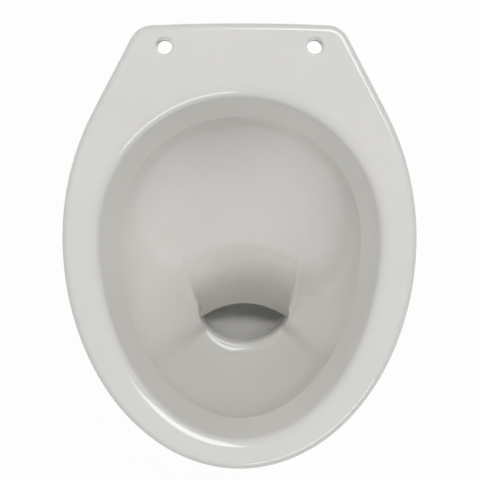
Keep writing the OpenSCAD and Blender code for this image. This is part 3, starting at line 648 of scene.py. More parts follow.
        # It is narrowest at the waist, spreads a little at the foot and far under the rim
        heights = np.array([
            foot, foot + 0.006, foot + 0.020, mouth - 0.070, self.collar, mouth - 0.010, mouth + 0.008,
            mouth + 0.028, mouth + 0.060, RING_UNDERSIDE])
        out = 0.001 * np.array([6, 3.5, 1, 0, 2, 8, 17, 30, 38, 44])
        forward = 0.001 * np.array([5, 2.5, 0.5, 0, 2, 7, 14, 25, 32, 36])
        base, widest = self.base, self.rim.widest
        return (base.waist / 2 + hermite(heights, out, z) - inside,
                FOOT_HIGH.y - base.foot_step / 2 - inside - widest,
                widest - FOOT_LOW.y - base.foot_step + hermite(heights, forward, z) - inside)

    def pedestal_radius(self, turn, z, inside):
        half, rear, front = self.pedestal_reach(z, inside)
        return egg_radius(turn, half, rear, front, self.PEDESTAL_N)

    def pedestal_rings(self, heights, inside):
        return [self.round_ring(self.pedestal_radius(self.even, z, inside), z) for z in heights]

    def round_ring(self, radius, z):
        return np.stack([radius * np.cos(self.even), self.rim.widest + radius * np.sin(self.even),
                         np.broadcast_to(z, self.even.shape)], axis=-1)

    def hollow(self, low, high):
        return self.pedestal_rings(np.linspace(low, high, 60), self.base.wall)

    def in_hollow(self, points):
        """Which points lie inside the pedestal's wall."""
        x, y = points[:, 0], points[:, 1] - self.rim.widest
        return np.hypot(x, y) < self.pedestal_radius(np.arctan2(y, x), points[:, 2], self.base.wall / 2)

    def skin(self, body):
        """Rings of the outside from the pedestal's waist to the rim, with the bowl run softly into it."""
        start, cove = self.collar, RING_UNDERSIDE - self.bowl.cove
        heights = np.linspace(start, cove, 76)
        middle = Vector((0, self.rim.widest, 0))
        far = self.rim.width
        radius = np.zeros((len(heights), AROUND))
        cross = np.zeros(AROUND)
        edge = egg_radius(self.even, *self.channel_reach(self.rim.wall - self.rim.under_radius))
        for j, turn in enumerate(self.even):
            out = Vector((cos(turn), sin(turn), 0))
            pedestal = self.pedestal_radius(turn, heights, 0)
            shell = np.zeros(len(heights))
            for i, z in enumerate(heights):
                hit = body.ray_cast(middle + out * far + Vector((0, 0, z)), -out, far)
                shell[i] = far - hit[3] if hit[0] else 0
            last = np.nonzero(pedestal >= shell)[0].max()
            ahead = np.arange(len(heights)) > last
            radius[:, j] = np.where(ahead, shell, pedestal)
            cross[j] = last
        steps = quarter(12)[1:]
        flare = 1 - np.cos(steps)[:, None]
        radius = np.concatenate([radius, mix(radius[-1], edge, flare)])
        heights = np.concatenate([heights, mix(cove, RIM_UNDERSIDE, np.sin(steps))])
        return self.softened(radius, heights, self.circular_mean(cross, 9))

    @staticmethod
    def circular_mean(values, span):
        return np.mean([np.roll(values, k) for k in range(-(span // 2), span // 2 + 1)], axis=0)

    def softened(self, radius, heights, cross):
        """Even rings over profiles of radius and height, rounded where the bowl meets the pedestal."""
        count, width, band = 100, 0.010, 0.026
        profiles = np.zeros((count, AROUND, 2))
        for j in range(AROUND):
            track = np.column_stack([radius[:, j], heights])
            along = np.concatenate([[0], np.cumsum(np.linalg.norm(np.diff(track, axis=0), axis=1))])
            even = np.linspace(0, along[-1], count)
            even_track = np.column_stack([np.interp(even, along, track[:, k]) for k in (0, 1)])
            kernel = np.exp(-0.5 * ((even[:, None] - even[None]) / width) ** 2)
            kernel /= kernel.sum(axis=1, keepdims=True)
            meet = np.interp(cross[j], np.arange(len(along)), along)
            near = np.exp(-((even - meet) / band) ** 4) * smooth_step(even / band)
            soft = mix(even_track, kernel @ even_track, near[:, None])
            # The rounding only ever fills
            soft[:, 0] = np.maximum(soft[:, 0], np.interp(soft[:, 1], heights, radius[:, j]))
            profiles[:, j] = soft
        inner = profiles[1:-1]
        profiles[1:-1] = (np.roll(inner, 1, axis=1) + 2 * inner + np.roll(inner, -1, axis=1)) / 4
        return [self.round_ring(ring[:, 0] + SKIN_COVER, ring[:, 1]) for ring in profiles]

    def foot_rings(self):
        """The foot, from its bare underside to its rounded top edge."""
        half, widest = (FOOT_HIGH.x - FOOT_LOW.x) / 2, self.rim.widest
        edge, batter = 0.0045, 0.001
        # Heights, and how far in the wall stands there: a wiped lower edge and a slightly leaning wall
        steps = [
            (0.0, 0.0012), (0.0006, 0.0004), (0.0018, 0.0), (0.010, 0.0004), (FOOT_HIGH.z - edge, batter)]
        corner = [(FOOT_HIGH.z - edge * (1 - sin(a)), batter + edge * (1 - cos(a)))
                  for a in quarter(EDGE_STEPS)[1:]]
        return [level(egg(self.even, half - d, FOOT_HIGH.y - d - widest, widest - FOOT_LOW.y - d, widest,
                          self.FOOT_N), z) for z, d in steps + corner]

    def foot_hollow(self):
        """Outline of the foot's open middle."""
        base, widest, ledge = self.base, self.rim.widest, 0.004
        half = base.waist / 2 - base.wall - ledge
        outline = egg(self.even, half, FOOT_HIGH.y - base.foot_ring - widest,
                      widest - FOOT_LOW.y - base.foot_ring, widest, self.PEDESTAL_N)
        return outline


# Meshes

def china(obj):
    """Both china finishes, in the order of their slots."""
    obj.data.materials.append(glaze_finish())
    obj.data.materials.append(china_finish())
    return obj


def new_piece(name, mesh):
    obj = bpy.data.objects.new(name, mesh)
    bpy.context.scene.collection.objects.link(obj)
    return obj


def skin_mesh(name, points, faces):
    mesh = bpy.data.meshes.new(name)
    mesh.from_pydata([tuple(p) for p in points], [], faces)
    form = bmesh.new()
    form.from_mesh(mesh)
    bmesh.ops.recalc_face_normals(form, faces=form.faces)
    form.to_mesh(mesh)
    form.free()
    return mesh


def loft(name, rings, finish=GLAZED):
    """A closed china body through rings of equal length."""
    rings = np.asarray(rings)
    count, around = rings.shape[:2]
    ends = [(ring.min(axis=0) + ring.max(axis=0)) / 2 for ring in (rings[0], rings[-1])]
    points = np.concatenate([rings.reshape(-1, 3), ends])
    faces = []
    for i in range(around):
        k = (i + 1) % around
        faces += [(j * around + i, (j + 1) * around + i, (j + 1) * around + k, j * around + k)
                  for j in range(count - 1)]
        last = (count - 1) * around
        faces += [(count * around, i, k), (count * around + 1, last + k, last + i)]
    obj = china(new_piece(name, skin_mesh(name, points, faces)))
    obj.data.polygons.foreach_set("material_index", [finish] * len(obj.data.polygons))
    return obj


def block(name, low, high, finish=GLAZED):
    (x0, y0, z0), (x1, y1, z1) = low, high
    corners = [(x0, y0), (x1, y0), (x1, y1), (x0, y1)]
    return loft(name, [[(x, y, z) for x, y in corners] for z in (z0, z1)], finish)


def prism(name, outline, low, high, finish=GLAZED):
    """A body with the same outline from one height to another."""
    return loft(name, [level(outline, z) for z in (low, high)], finish)


def cuts(*tools):
    return [("DIFFERENCE", tool) for tool in tools]


def rounded(corners, steps=5):
    """A closed profile, each corner (radius, along, rounding) drawn as an arc."""
    points = []
    for i, (r, h, rounding) in enumerate(corners):
        here = Vector((r, h))
        before, after = (Vector(corners[(i + k) % len(corners)][:2]) - here for k in (-1, 1))
        if rounding == 0:
            points.append(here)
            continue
        before.normalize()
        after.normalize()
        half = before.angle(after) / 2
        middle = here + (before + after).normalized() * rounding / sin(half)
        first, last = (here + v * rounding / tan(half) - middle for v in (before, after))
        swing = first.angle_signed(last)
        for k in range(steps + 1):
            a = -swing * k / steps
            turned = Vector((first.x * cos(a) - first.y * sin(a),
                             first.x * sin(a) + first.y * cos(a)))
            points.append(middle + turned)
    return points


def lathe(name, corners, middle, along="Z"):
    """A turned piece: its profile is spun about an axis through middle."""
    profile = rounded(corners)
    count = len(profile)
    points, faces = [], []
    for i in range(LATHE_STEPS):
        a = 2 * pi * i / LATHE_STEPS
        for p in profile:
            across, up = p.x * cos(a), p.x * sin(a)
            place = (across, up, p.y) if along == "Z" else (across, p.y, up)
            points.append(Vector(middle) + Vector(place))
        k = (i + 1) % LATHE_STEPS
        faces += [(i * count + j, k * count + j, k * count + (j + 1) % count, i * count + (j + 1) % count)
                  for j in range(count)]
    return new_piece(name, skin_mesh(name, points, faces))


def drill(name, radius, middle, low, high, along="Z"):
    """A plain round cutter."""
    turns = np.linspace(0, 2 * pi, LATHE_STEPS, endpoint=False)
    a, b = radius * np.cos(turns), radius * np.sin(turns)
    rings = []
    for h in (low, high):
        flat = np.full(LATHE_STEPS, h)
        rings.append(np.stack([a, b, flat] if along == "Z" else [a, flat, b], axis=-1) + np.array(middle))
    return loft(name, rings)


def carve(piece, *steps):
    """Joins, cuts or crops a piece by other closed bodies, in turn."""
    for operation, tool in steps:
        step = piece.modifiers.new(tool.name, "BOOLEAN")
        step.object, step.operation, step.solver = tool, operation, "MANIFOLD"
        step.material_mode = "INDEX"
    bpy.context.view_layer.update()
    depsgraph = bpy.context.evaluated_depsgraph_get()
    mesh = bpy.data.meshes.new_from_object(piece.evaluated_get(depsgraph), depsgraph=depsgraph)
    piece.modifiers.clear()
    piece.data = mesh
    if not mesh.polygons:
        raise RuntimeError(f"nothing is left of {piece.name}")
    for operation, tool in steps:
        if not tool.name.startswith("former_"):
            bpy.data.objects.remove(tool)


def former(pan, form):
    """A body that several pieces are shaped on, made once."""
    name = "former_" + form
    obj = bpy.data.objects.get(name)
    if obj is None:
        finish = GLAZED if form == "waterway" else BARE
        obj = loft(name, getattr(pan, form)(), finish)
        obj.hide_render = True
    return obj


def glaze_outside(pan, piece):
    """Glazes the bare faces that lie outside the pedestal."""
    mesh = piece.data
    centres = np.array([p.center for p in mesh.polygons])
    inside = pan.in_hollow(centres)
    for face, hidden in zip(mesh.polygons, inside):
        if face.material_index == BARE and not hidden:
            face.material_index = GLAZED


def finished(piece, slot, *nodes):
    """Smooth faces with crisp edges, and the piece's place in the frame."""
    piece.data.shade_smooth()
    piece.data.set_sharp_from_angle(angle=CRISP_ANGLE)
    shading = piece.modifiers.new("Even shading", "WEIGHTED_NORMAL")
    shading.mode, shading.keep_sharp, shading.weight = "FACE_AREA", True, 50
    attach(piece, "root")
    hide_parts(*nodes)


# Finishes

def feed(tree, socket, value):
    """Joins a socket to another one, or sets it to a number or a colour."""
    if isinstance(value, bpy.types.NodeSocket):
        tree.links.new(value, socket)
    elif socket.type == "RGBA":
        socket.default_value = (*value[:3], 1.0)
    else:
        socket.default_value = value


def add(tree, kind, inputs=None, **settings):
    """A node with its settings, and its inputs by name or number."""
    node = tree.nodes.new(kind)
    for name, value in settings.items():
        setattr(node, name, value)
    for name, value in (inputs or {}).items():
        feed(tree, node.inputs[name], value)
    return node


def noise(tree, place, scale, detail=3.0, roughness=0.5):
    inputs = {"Vector": place, "Scale": scale, "Detail": detail, "Roughness": roughness}
    return add(tree, "ShaderNodeTexNoise", inputs).outputs["Fac"]


def spread(tree, value, low, high, to_low, to_high):
    """The value's range from low to high, carried softly to another range."""
    inputs = {"Value": value, "From Min": low, "From Max": high, "To Min": to_low, "To Max": to_high}
    return add(tree, "ShaderNodeMapRange", inputs, interpolation_type="SMOOTHSTEP").outputs["Result"]


def maths(tree, operation, a, b):
    return add(tree, "ShaderNodeMath", {0: a, 1: b}, operation=operation).outputs["Value"]


def weighed(tree, first, first_share, second, second_share):
    """The sum of shares of two values."""
    return maths(tree, "ADD", maths(tree, "MULTIPLY", first, first_share),
                 maths(tree, "MULTIPLY", second, second_share))


def blend(tree, factor, first, second):
    """Colour first run into colour second by a factor."""
    node = add(tree, "ShaderNodeMix", {"Factor": factor}, data_type="RGBA")
    colours = [socket for socket in node.inputs if socket.type == "RGBA"]
    for socket, value in zip(colours, (first, second)):
        feed(tree, socket, value)
    return next(socket for socket in node.outputs if socket.type == "RGBA")


def shader_group(name, inputs, outputs, wire):
    """A shader group, made once. Wire takes the tree, places on the object and the group's inputs."""
    if name in bpy.data.node_groups:
        return bpy.data.node_groups[name]
    tree = bpy.data.node_groups.new(name, "ShaderNodeTree")
    for label, value in inputs.items():
        kind = "NodeSocketColor" if isinstance(value, tuple) else "NodeSocketFloat"
        tree.interface.new_socket(name=label, in_out="INPUT", socket_type=kind).default_value = value
    for label in outputs:
        kind = "NodeSocketColor" if label == "Color" else "NodeSocketFloat"
        tree.interface.new_socket(name=label, in_out="OUTPUT", socket_type=kind)
    given, made = tree.nodes.new("NodeGroupInput"), tree.nodes.new("NodeGroupOutput")
    place = add(tree, "ShaderNodeTexCoord").outputs["Object"]
    for label, socket in zip(outputs, wire(tree, place, given.outputs)):
        tree.links.new(socket, made.inputs[label])
    return tree


def fired_mottle():
    """Group: the faint clouds of tone that the firing leaves."""
    def wire(tree, place, given):
        broad = noise(tree, place, given["Scale"], 4.0, 0.55)
        fine = noise(tree, place, maths(tree, "MULTIPLY", given["Scale"], 9.0), 3.0, 0.6)
        both = weighed(tree, broad, 0.75, fine, 0.25)
        cloud = spread(tree, both, 0.36, 0.66, 0.0, given["Amount"])
        return [blend(tree, cloud, given["Color"], given["Tint"])]
    white = (1, 1, 1, 1)
    inputs = {"Color": white, "Tint": white, "Scale": 12.0, "Amount": 0.3}
    return shader_group("Fired mottle", inputs, ["Color"], wire)


def fine_grain():
    """Group: small unevenness of a surface, as a roughness and a height."""
    def wire(tree, place, given):
        grain = noise(tree, place, given["Scale"], 4.0, 0.5)
        smears = noise(tree, place, 22.0, 3.0, 0.6)
        mixed = weighed(tree, grain, 0.4, smears, 0.6)
        return [spread(tree, mixed, 0.38, 0.64, given["Smooth"], given["Rough"]), grain]
    inputs = {"Scale": 300.0, "Smooth": 0.1, "Rough": 0.2}
    return shader_group("Fine grain", inputs, ["Roughness", "Height"], wire)


def specks():
    """Group: sparse small spots, as in fired clay."""
    def wire(tree, place, given):
        cells = add(tree, "ShaderNodeTexVoronoi", {"Vector": place, "Scale": given["Scale"]})
        parts = add(tree, "ShaderNodeSeparateColor", {"Color": cells.outputs["Color"]})
        size = maths(tree, "MULTIPLY", given["Size"], parts.outputs["Green"])
        spot = maths(tree, "LESS_THAN", cells.outputs["Distance"], size)
        kept = maths(tree, "LESS_THAN", parts.outputs["Red"], given["Kept"])
        return [maths(tree, "MULTIPLY", spot, kept)]
    return shader_group("Specks", {"Scale": 120.0, "Size": 0.06, "Kept": 0.1}, ["Mask"], wire)


def settled_dust():
    """Group: dust that lies on faces that look up."""
    def wire(tree, place, given):
        normal = add(tree, "ShaderNodeNewGeometry").outputs["Normal"]
        facing = add(tree, "ShaderNodeSeparateXYZ", {"Vector": normal})
        up = spread(tree, facing.outputs["Z"], 0.2, 1.0, 0.0, 1.0)
        cloud = spread(tree, noise(tree, place, given["Scale"], 5.0, 0.65), 0.4, 0.75, 0.15, 1.0)
        return [maths(tree, "MULTIPLY", maths(tree, "MULTIPLY", up, cloud), given["Amount"])]
    return shader_group("Settled dust", {"Amount": 0.2, "Scale": 60.0}, ["Mask"], wire)


def shaded(base, amount):
    return tuple(c * amount for c in base)


def finish(look, tint, mottle, grain, relief, spots=None, spot_tone=0, dust=None, dust_colour=None,
           **values):
    """A finish, made once: a clouded colour, a grain with its relief, and spots or dust if given.

    The tint is a colour or a share of the finish's own. Values are the shader's constants.
    """
    name = look + "_finish"
    if name in bpy.data.materials:
        return bpy.data.materials[name]
    material = bpy.data.materials.new(name)
    material.use_nodes = True
    tree = material.node_tree
    base = tuple(getattr(bpy.context.scene.pan_looks, look))
    clouds = {"Color": base, "Tint": tint if isinstance(tint, tuple) else shaded(base, tint), **mottle}
    tone = add(tree, "ShaderNodeGroup", clouds, node_tree=fired_mottle()).outputs["Color"]
    if spots:
        mask = add(tree, "ShaderNodeGroup", spots, node_tree=specks()).outputs["Mask"]
        tone = blend(tree, mask, tone, shaded(base, spot_tone))
    if dust:
        mask = add(tree, "ShaderNodeGroup", dust, node_tree=settled_dust()).outputs["Mask"]
        tone = blend(tree, mask, tone, dust_colour)
    rough = add(tree, "ShaderNodeGroup", grain, node_tree=fine_grain()).outputs
    strength, distance = relief
    bump = add(tree, "ShaderNodeBump", {
        "Strength": strength, "Distance": distance, "Height": rough["Height"]})
    sockets = {"Base Color": tone, "Roughness": rough["Roughness"], "Normal": bump.outputs["Normal"]}
    constants = {label.replace("_", " "): value for label, value in values.items()}
    for label, value in {**sockets, **constants}.items():
        feed(tree, tree.nodes["Principled BSDF"].inputs[label], value)
    return material


def glaze_finish():
    """Pale warm-grey glaze: glossy, faintly clouded, with an orange-peel surface and rare specks."""
    return finish(
        "glaze", tint=0.94, mottle={"Scale": 9.0, "Amount": 0.5},
        grain={"Scale": 260.0, "Smooth": 0.06, "Rough": 0.13}, relief=(0.10, 0.0006),
        spots={"Scale": 85.0, "Size": 0.045, "Kept": 0.06}, spot_tone=0.55,
        IOR=1.5, Coat_Weight=0.35, Coat_Roughness=0.03)


def china_finish():
    """Unglazed fired china: matt, warm, gritty, with clay specks and a little dust."""
    return finish(
        "china", tint=0.8, mottle={"Scale": 16.0, "Amount": 0.8},
        grain={"Scale": 900.0, "Smooth": 0.65, "Rough": 0.9}, relief=(0.35, 0.0006),
        spots={"Scale": 210.0, "Size": 0.16, "Kept": 0.3}, spot_tone=0.45,
        dust={"Amount": 0.5, "Scale": 45.0}, dust_colour=(0.42, 0.40, 0.36))


def rubber_finish():
    """Moulded black rubber with a dull bloom and dust on its upper side."""
    return finish(
        "rubber", tint=(0.05, 0.05, 0.05), mottle={"Scale": 40.0, "Amount": 0.7},
        grain={"Scale": 1400.0, "Smooth": 0.42, "Rough": 0.7}, relief=(0.2, 0.0003),
        dust={"Amount": 0.25, "Scale": 90.0}, dust_colour=(0.30, 0.29, 0.27))


def nylon_finish():
    """Natural nylon: waxy, slightly see-through, with fine moulding texture."""
    return finish(
        "nylon", tint=0.9, mottle={"Scale": 60.0, "Amount": 0.6},
        grain={"Scale": 1100.0, "Smooth": 0.3, "Rough": 0.48}, relief=(0.12, 0.0003),
        Subsurface_Weight=0.15, Subsurface_Radius=(0.002, 0.0018, 0.0015))


# Operators

class PieceOperator:
    """What every piece's operator shares."""
    bl_options = {"REGISTER", "UNDO"}


class PAN_OT_rim(PieceOperator, bpy.types.Operator):
    """Make the hollow rim with its leaning inner wall, its bullnosed lip and the seat deck"""
    bl_idname = "pan.rim"
    bl_label = "Rim and Seat Deck"

    def execute(self, context):
        pan = Pan(context.scene)
        rim = pan.rim
        piece = loft("glazed_rim", pan.rim_body())
        lap = loft("lap", pan.lap())
        opening = loft("opening", pan.opening_air())
        low = RIM_UNDERSIDE - PAST
        channel = prism("channel", pan.channel_line(0), low, CHANNEL_CEILING)
        leaning, upright = (pan.opening(rim.lip_wall - lean, pan.even) for lean in (rim.lean, 0))
        inner = loft("inner_wall", [
            level(leaning, low - PAST), level(leaning, RIM_UNDERSIDE),
            level(upright, CHANNEL_CEILING + PAST)])
        carve(channel, *cuts(inner))
        under_deck = prism("under_deck", pan.rim_outline(rim.wall), low, CHANNEL_CEILING)
        behind = prism("behind", pan.channel_line(rim.wall), low - PAST, CHANNEL_CEILING + PAST)
        solid_sides = 0.030
        ahead = block("ahead", (-rim.width, pan.front * 2, low - PAST),
                      (rim.width, rim.widest + solid_sides, CHANNEL_CEILING + PAST))
        carve(under_deck, *cuts(behind, ahead))
        half = (BOX_HIGH.x - BOX_LOW.x) / 2 - rim.wall
        window = block("window", (-half, BOX_LOW.y - 2 * rim.wall, low),
                       (half, BOX_LOW.y + PAST, CHANNEL_CEILING))
        round_horn = 0.005
        arch = drill("arch", HORN_RADIUS + round_horn, (0, 0, INLET_Z),
                     pan.back - 2 * rim.wall, pan.back + PAST, "Y")
        holes = [self.seat_hole(pan, side) for side in (-1, 1)]
        carve(piece, ("UNION", lap), *cuts(opening, channel, under_deck, window, arch, *holes))
        finished(piece, "white_glaze", "rim_deck", "rim_skirt", "rim_lip", "channel_wall")
        return {"FINISHED"}

    @staticmethod
    def seat_hole(pan, side):
        rim = pan.rim
        edge, bore = rim.seat_edge, rim.seat_hole / 2
        turns = np.linspace(0, 2 * pi, LATHE_STEPS, endpoint=False)
        steps = [(bore, CHANNEL_CEILING - PAST)]
        steps += [(bore + edge * (1 - cos(a)), rim.height - edge * (1 - sin(a)))
                  for a in quarter(EDGE_STEPS)]
        steps += [(bore + edge, rim.height + PAST)]
        x, y = side * rim.seat_pitch / 2, pan.seat_y
        return loft("seat_hole", [
            np.stack([x + r * np.cos(turns), y + r * np.sin(turns), np.full(LATHE_STEPS, z)], axis=-1)
            for r, z in steps])


class PAN_OT_wash_ring(PieceOperator, bpy.types.Operator):
    """Make the ring that closes the flush channel, with its wash holes"""
    bl_idname = "pan.wash_ring"
    bl_label = "Wash Ring"

    def execute(self, context):
        pan = Pan(context.scene)
        rim = pan.rim
        gap = 0.0001
        low, high = RING_UNDERSIDE - PAST, RIM_UNDERSIDE + PAST
        piece = prism("wash_ring_glazed", pan.channel_line(-gap), RING_UNDERSIDE, RIM_UNDERSIDE)
        inner = prism("inner", pan.opening(rim.lip_wall - rim.lean + gap, pan.even), low, high)
        line = (pan.bowl.undercut + rim.lip_wall) / 2 - rim.lean
        turns = 2 * pi * (np.arange(rim.wash_holes) + 0.5) / rim.wash_holes
        holes = [drill("wash_hole", rim.wash_hole / 2, (x, y, 0), low, high)
                 for x, y in pan.opening(line, turns)]
        carve(piece, *cuts(inner, *holes))
        finished(piece, "white_glaze", "wash_ring")
        return {"FINISHED"}


class PAN_OT_bowl(PieceOperator, bpy.types.Operator):
    """Make the bowl with the collar that runs it into the pedestal"""
    bl_idname = "pan.bowl"
    bl_label = "Bowl and Collar"

    def execute(self, context):
        pan = Pan(context.scene)
        body = former(pan, "bowl_body")
        tree = BVHTree.FromObject(body, context.evaluated_depsgraph_get())
        piece = loft("bowl", pan.skin(tree))
        hollow = loft("hollow", pan.hollow(pan.collar - PAST, RING_UNDERSIDE), BARE)
        seat = prism("ring_seat", pan.channel_line(0), RING_UNDERSIDE, RIM_UNDERSIDE + PAST)
        carve(piece, *cuts(hollow, former(pan, "duct")), ("UNION", body),
              *cuts(former(pan, "waterway"), seat))
        glaze_outside(pan, piece)
        finished(piece, "white_glaze", "bowl_shell", "pedestal_collar")
        return {"FINISHED"}


class PAN_OT_trap(PieceOperator, bpy.types.Operator):
    """Make the trap's three castings: the sump, the riser and the crown"""
    bl_idname = "pan.trap"
    bl_label = "Trap"

    def execute(self, context):
        pan = Pan(context.scene)
        names = {"sump_cup": "sump", "trap_riser": "riser", "trap_crown": "crown"}
        start, side = pan.front * 2, pan.rim.width
        joints = [start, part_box("trap_riser")[0].y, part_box("trap_crown")[0].y, SPIGOT_LOW.y]
        for (node, name), low, high in zip(names.items(), joints, joints[1:]):
            piece = loft(name, pan.duct(), BARE)
            crop = block("crop", (-side, low, 0), (side, high, pan.rim.height), BARE)
            carve(piece, ("INTERSECT", crop), *cuts(former(pan, "waterway"), former(pan, "bowl_body")))
            glaze_outside(pan, piece)
            finished(piece, "bare_china" if node == "trap_riser" else "white_glaze", node)
        return {"FINISHED"}


class PAN_OT_pedestal(PieceOperator, bpy.types.Operator):
    """Make the pedestal's wall and the webs inside it"""
    bl_idname = "pan.pedestal"
    bl_label = "Pedestal and Webs"

    def execute(self, context):
        pan = Pan(context.scene)
        base = pan.base
        # Rings lie closer together just above the foot, where the wall spreads
        spread_top, first_above = FOOT_HIGH.z + 0.024, FOOT_HIGH.z + 0.027
        heights = np.concatenate([
            np.linspace(FOOT_HIGH.z, spread_top, 13), np.linspace(first_above, pan.collar, 30)])
        piece = loft("pedestal", pan.pedestal_rings(heights, -SKIN_COVER))
        hollow = loft("hollow", pan.hollow(FOOT_HIGH.z - PAST, pan.collar + PAST), BARE)
        room = 0.0005
        notch = BUSH_HIGH.x - base.screw_pitch / 2 + room
        notches = [drill("notch", notch, middle, FOOT_HIGH.z - PAST, FOOT_HIGH.z * 2)
                   for middle in pan.screws]
        carve(piece, *cuts(hollow, former(pan, "duct"), *notches))
        finished(piece, "white_glaze", "pedestal_shell")
        web_low, web_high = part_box("support_webs")
        for name, y in (("web_front", web_low.y), ("web_rear", web_high.y - base.web)):
            web = block(name, (-base.waist, y, FOOT_HIGH.z),
                        (base.waist, y + base.web, RIM_UNDERSIDE), BARE)
            inside = loft("inside", pan.hollow(FOOT_HIGH.z - PAST, RING_UNDERSIDE), BARE)
            carve(web, ("INTERSECT", inside), *cuts(former(pan, "duct"), former(pan, "bowl_body")))
            finished(web, "bare_china", "support_webs")
        return {"FINISHED"}


class PAN_OT_foot(PieceOperator, bpy.types.Operator):
    """Make the foot with its bare underside and its two screw holes"""
    bl_idname = "pan.foot"
    bl_label = "Foot"

    def execute(self, context):
        pan = Pan(context.scene)
        piece = loft("foot", pan.foot_rings())
        hollow = prism("hollow", pan.foot_hollow(), -PAST, FOOT_HIGH.z + PAST, BARE)
        holes = [drill("screw_hole", pan.base.screw_hole / 2, middle, -PAST, FOOT_HIGH.z + PAST)
                 for middle in pan.screws]
        carve(piece, *cuts(hollow, *holes))
        wiped = 0.0015
        for face in piece.data.polygons:
            if face.center.z < wiped:
                face.material_index = BARE
        finished(piece, "white_glaze", "foot_plinth")
        return {"FINISHED"}


class PAN_OT_outlet(PieceOperator, bpy.types.Operator):
    """Make the outlet spigot with its collar"""
    bl_idname = "pan.outlet"
    bl_label = "Outlet Spigot"

    def execute(self, context):
        trap = context.scene.pan_trap
        bore, run = trap.bore / 2, SPIGOT_HIGH.y - SPIGOT_LOW.y
        outside, collar, collar_run = trap.spigot / 2, (SPIGOT_HIGH.x - SPIGOT_LOW.x) / 2, 0.006
        piece = china(lathe("outlet_spigot_glazed", [
            (bore, 0, 0), (bore, run, 0.002), (outside, run, 0.003), (outside, collar_run, 0.0035),
            (collar, collar_run, 0.002), (collar, 0, 0.0015)], (0, SPIGOT_LOW.y, OUTLET_Z), "Y"))
        finished(piece, "white_glaze", "outlet_spigot")
        return {"FINISHED"}


class PAN_OT_inlet(PieceOperator, bpy.types.Operator):
    """Make the flush box, the horn behind it and the rubber seal in the horn"""
    bl_idname = "pan.inlet"
    bl_label = "Flush Box, Horn and Seal"

    def execute(self, context):
        pan = Pan(context.scene)
        base, wall = pan.base, pan.rim.wall
        middle = (0, HORN_LOW.y, INLET_Z)
        bore = base.horn_bore / 2
        self.flush_box(pan, wall, middle, bore)
        run = HORN_HIGH.y - HORN_LOW.y
        horn = china(lathe("inlet_horn_glazed", [
            (bore, 0, 0), (bore, run, 0.0015), (HORN_RADIUS, run, 0.003), (HORN_RADIUS, 0, 0)],
            middle, "Y"))
        finished(horn, "white_glaze", "inlet_horn")
        seal_run, collar = SEAL_HIGH.y - SEAL_LOW.y, (SEAL_HIGH.x - SEAL_LOW.x) / 2
        lips, pipe = 3, base.pipe / 2
        valley, ramp, drop = pipe + 0.002, 0.0022, 0.0010
        inside = []
        for crest in seal_run / (lips + 1) * np.arange(1, lips + 1):
            inside += [
                (valley, crest - ramp, 0.0005), (pipe, crest, 0.0006), (valley, crest + drop, 0.0005)]
        behind = seal_run - (SEAL_HIGH.y - HORN_HIGH.y)
        seal = lathe("inlet_seal_rubber", [
            (bore, 0, 0.0008), (valley, 0, 0.0008), *inside, (valley, seal_run, 0.0012),
            (collar, seal_run, 0.0015), (collar, behind, 0.0008), (bore, behind, 0.0)],
            (0, SEAL_LOW.y, INLET_Z), "Y")
        seal.data.materials.append(rubber_finish())
        finished(seal, "seal_rubber", "inlet_seal")
        return {"FINISHED"}

    @staticmethod
    def flush_box(pan, wall, middle, bore):
        half = (BOX_HIGH.x - BOX_LOW.x) / 2
        soft = 0.004
        flat = np.array([(half - soft, BOX_HIGH.y - soft), (-half + soft, BOX_HIGH.y - soft),
                         (-half + soft, BOX_LOW.y + soft), (half - soft, BOX_LOW.y + soft)])
        corners = np.repeat(flat, EDGE_STEPS + 1, axis=0)
        turns = np.concatenate([quarter(EDGE_STEPS) + k * pi / 2 for k in range(4)])
        out = np.stack([np.cos(turns), np.sin(turns)], axis=-1)
        piece = loft("flush_box_glazed", [
            level(corners + out * soft * sin(a), BOX_LOW.z + soft * (1 - cos(a)))
            for a in quarter(EDGE_STEPS)] + [level(corners + out * soft, BOX_HIGH.z)])
        window = block("window", (-half + wall, BOX_LOW.y - PAST, RIM_UNDERSIDE),
                       (half - wall, BOX_LOW.y + wall + PAST, BOX_HIGH.z + PAST), BARE)
        room = block("room", (-half + wall, BOX_LOW.y + wall, BOX_LOW.z + wall),
                     (half - wall, BOX_HIGH.y - wall, BOX_HIGH.z + PAST), BARE)
        way = drill("way", bore, middle, -wall - PAST, PAST, "Y")
        carve(piece, *cuts(window, room, way))
        finished(piece, "white_glaze", "flush_box")


class PAN_OT_bushes(PieceOperator, bpy.types.Operator):
    """Make the flanged nylon bushes in the foot's screw holes"""
    bl_idname = "pan.bushes"
    bl_label = "Floor Bushes"

    def execute(self, context):
        pan = Pan(context.scene)
        base, gap = pan.base, 0.0001
        bore, flange = base.bush_bore / 2, BUSH_HIGH.x - base.screw_pitch / 2
        sleeve = base.screw_hole / 2 - gap
        for name, middle in zip(("floor_bush_left", "floor_bush_right"), pan.screws):
            bush = lathe(name, [
                (bore, 0, 0.0004), (bore, BUSH_HIGH.z, 0.0006), (flange, BUSH_HIGH.z, 0.0009),
                (flange, FOOT_HIGH.z, 0.0002), (sleeve, FOOT_HIGH.z, 0), (sleeve, 0, 0.0005)], middle)
            bush.data.materials.append(nylon_finish())
            finished(bush, "bush_nylon", "floor_bushes")
        return {"FINISHED"}


class PAN_OT_bare_pieces(PieceOperator, bpy.types.Operator):
    """Finish the seat hole pads and the flush splitter, whose own shape is right"""
    bl_idname = "pan.bare_pieces"
    bl_label = "Pads and Splitter"

    def execute(self, context):
        for node in ("seat_hole_pads", "flush_splitter"):
            obj = frame["nodes"][node]
            obj.data.materials.clear()
            obj.data.materials.append(china_finish())
        return {"FINISHED"}


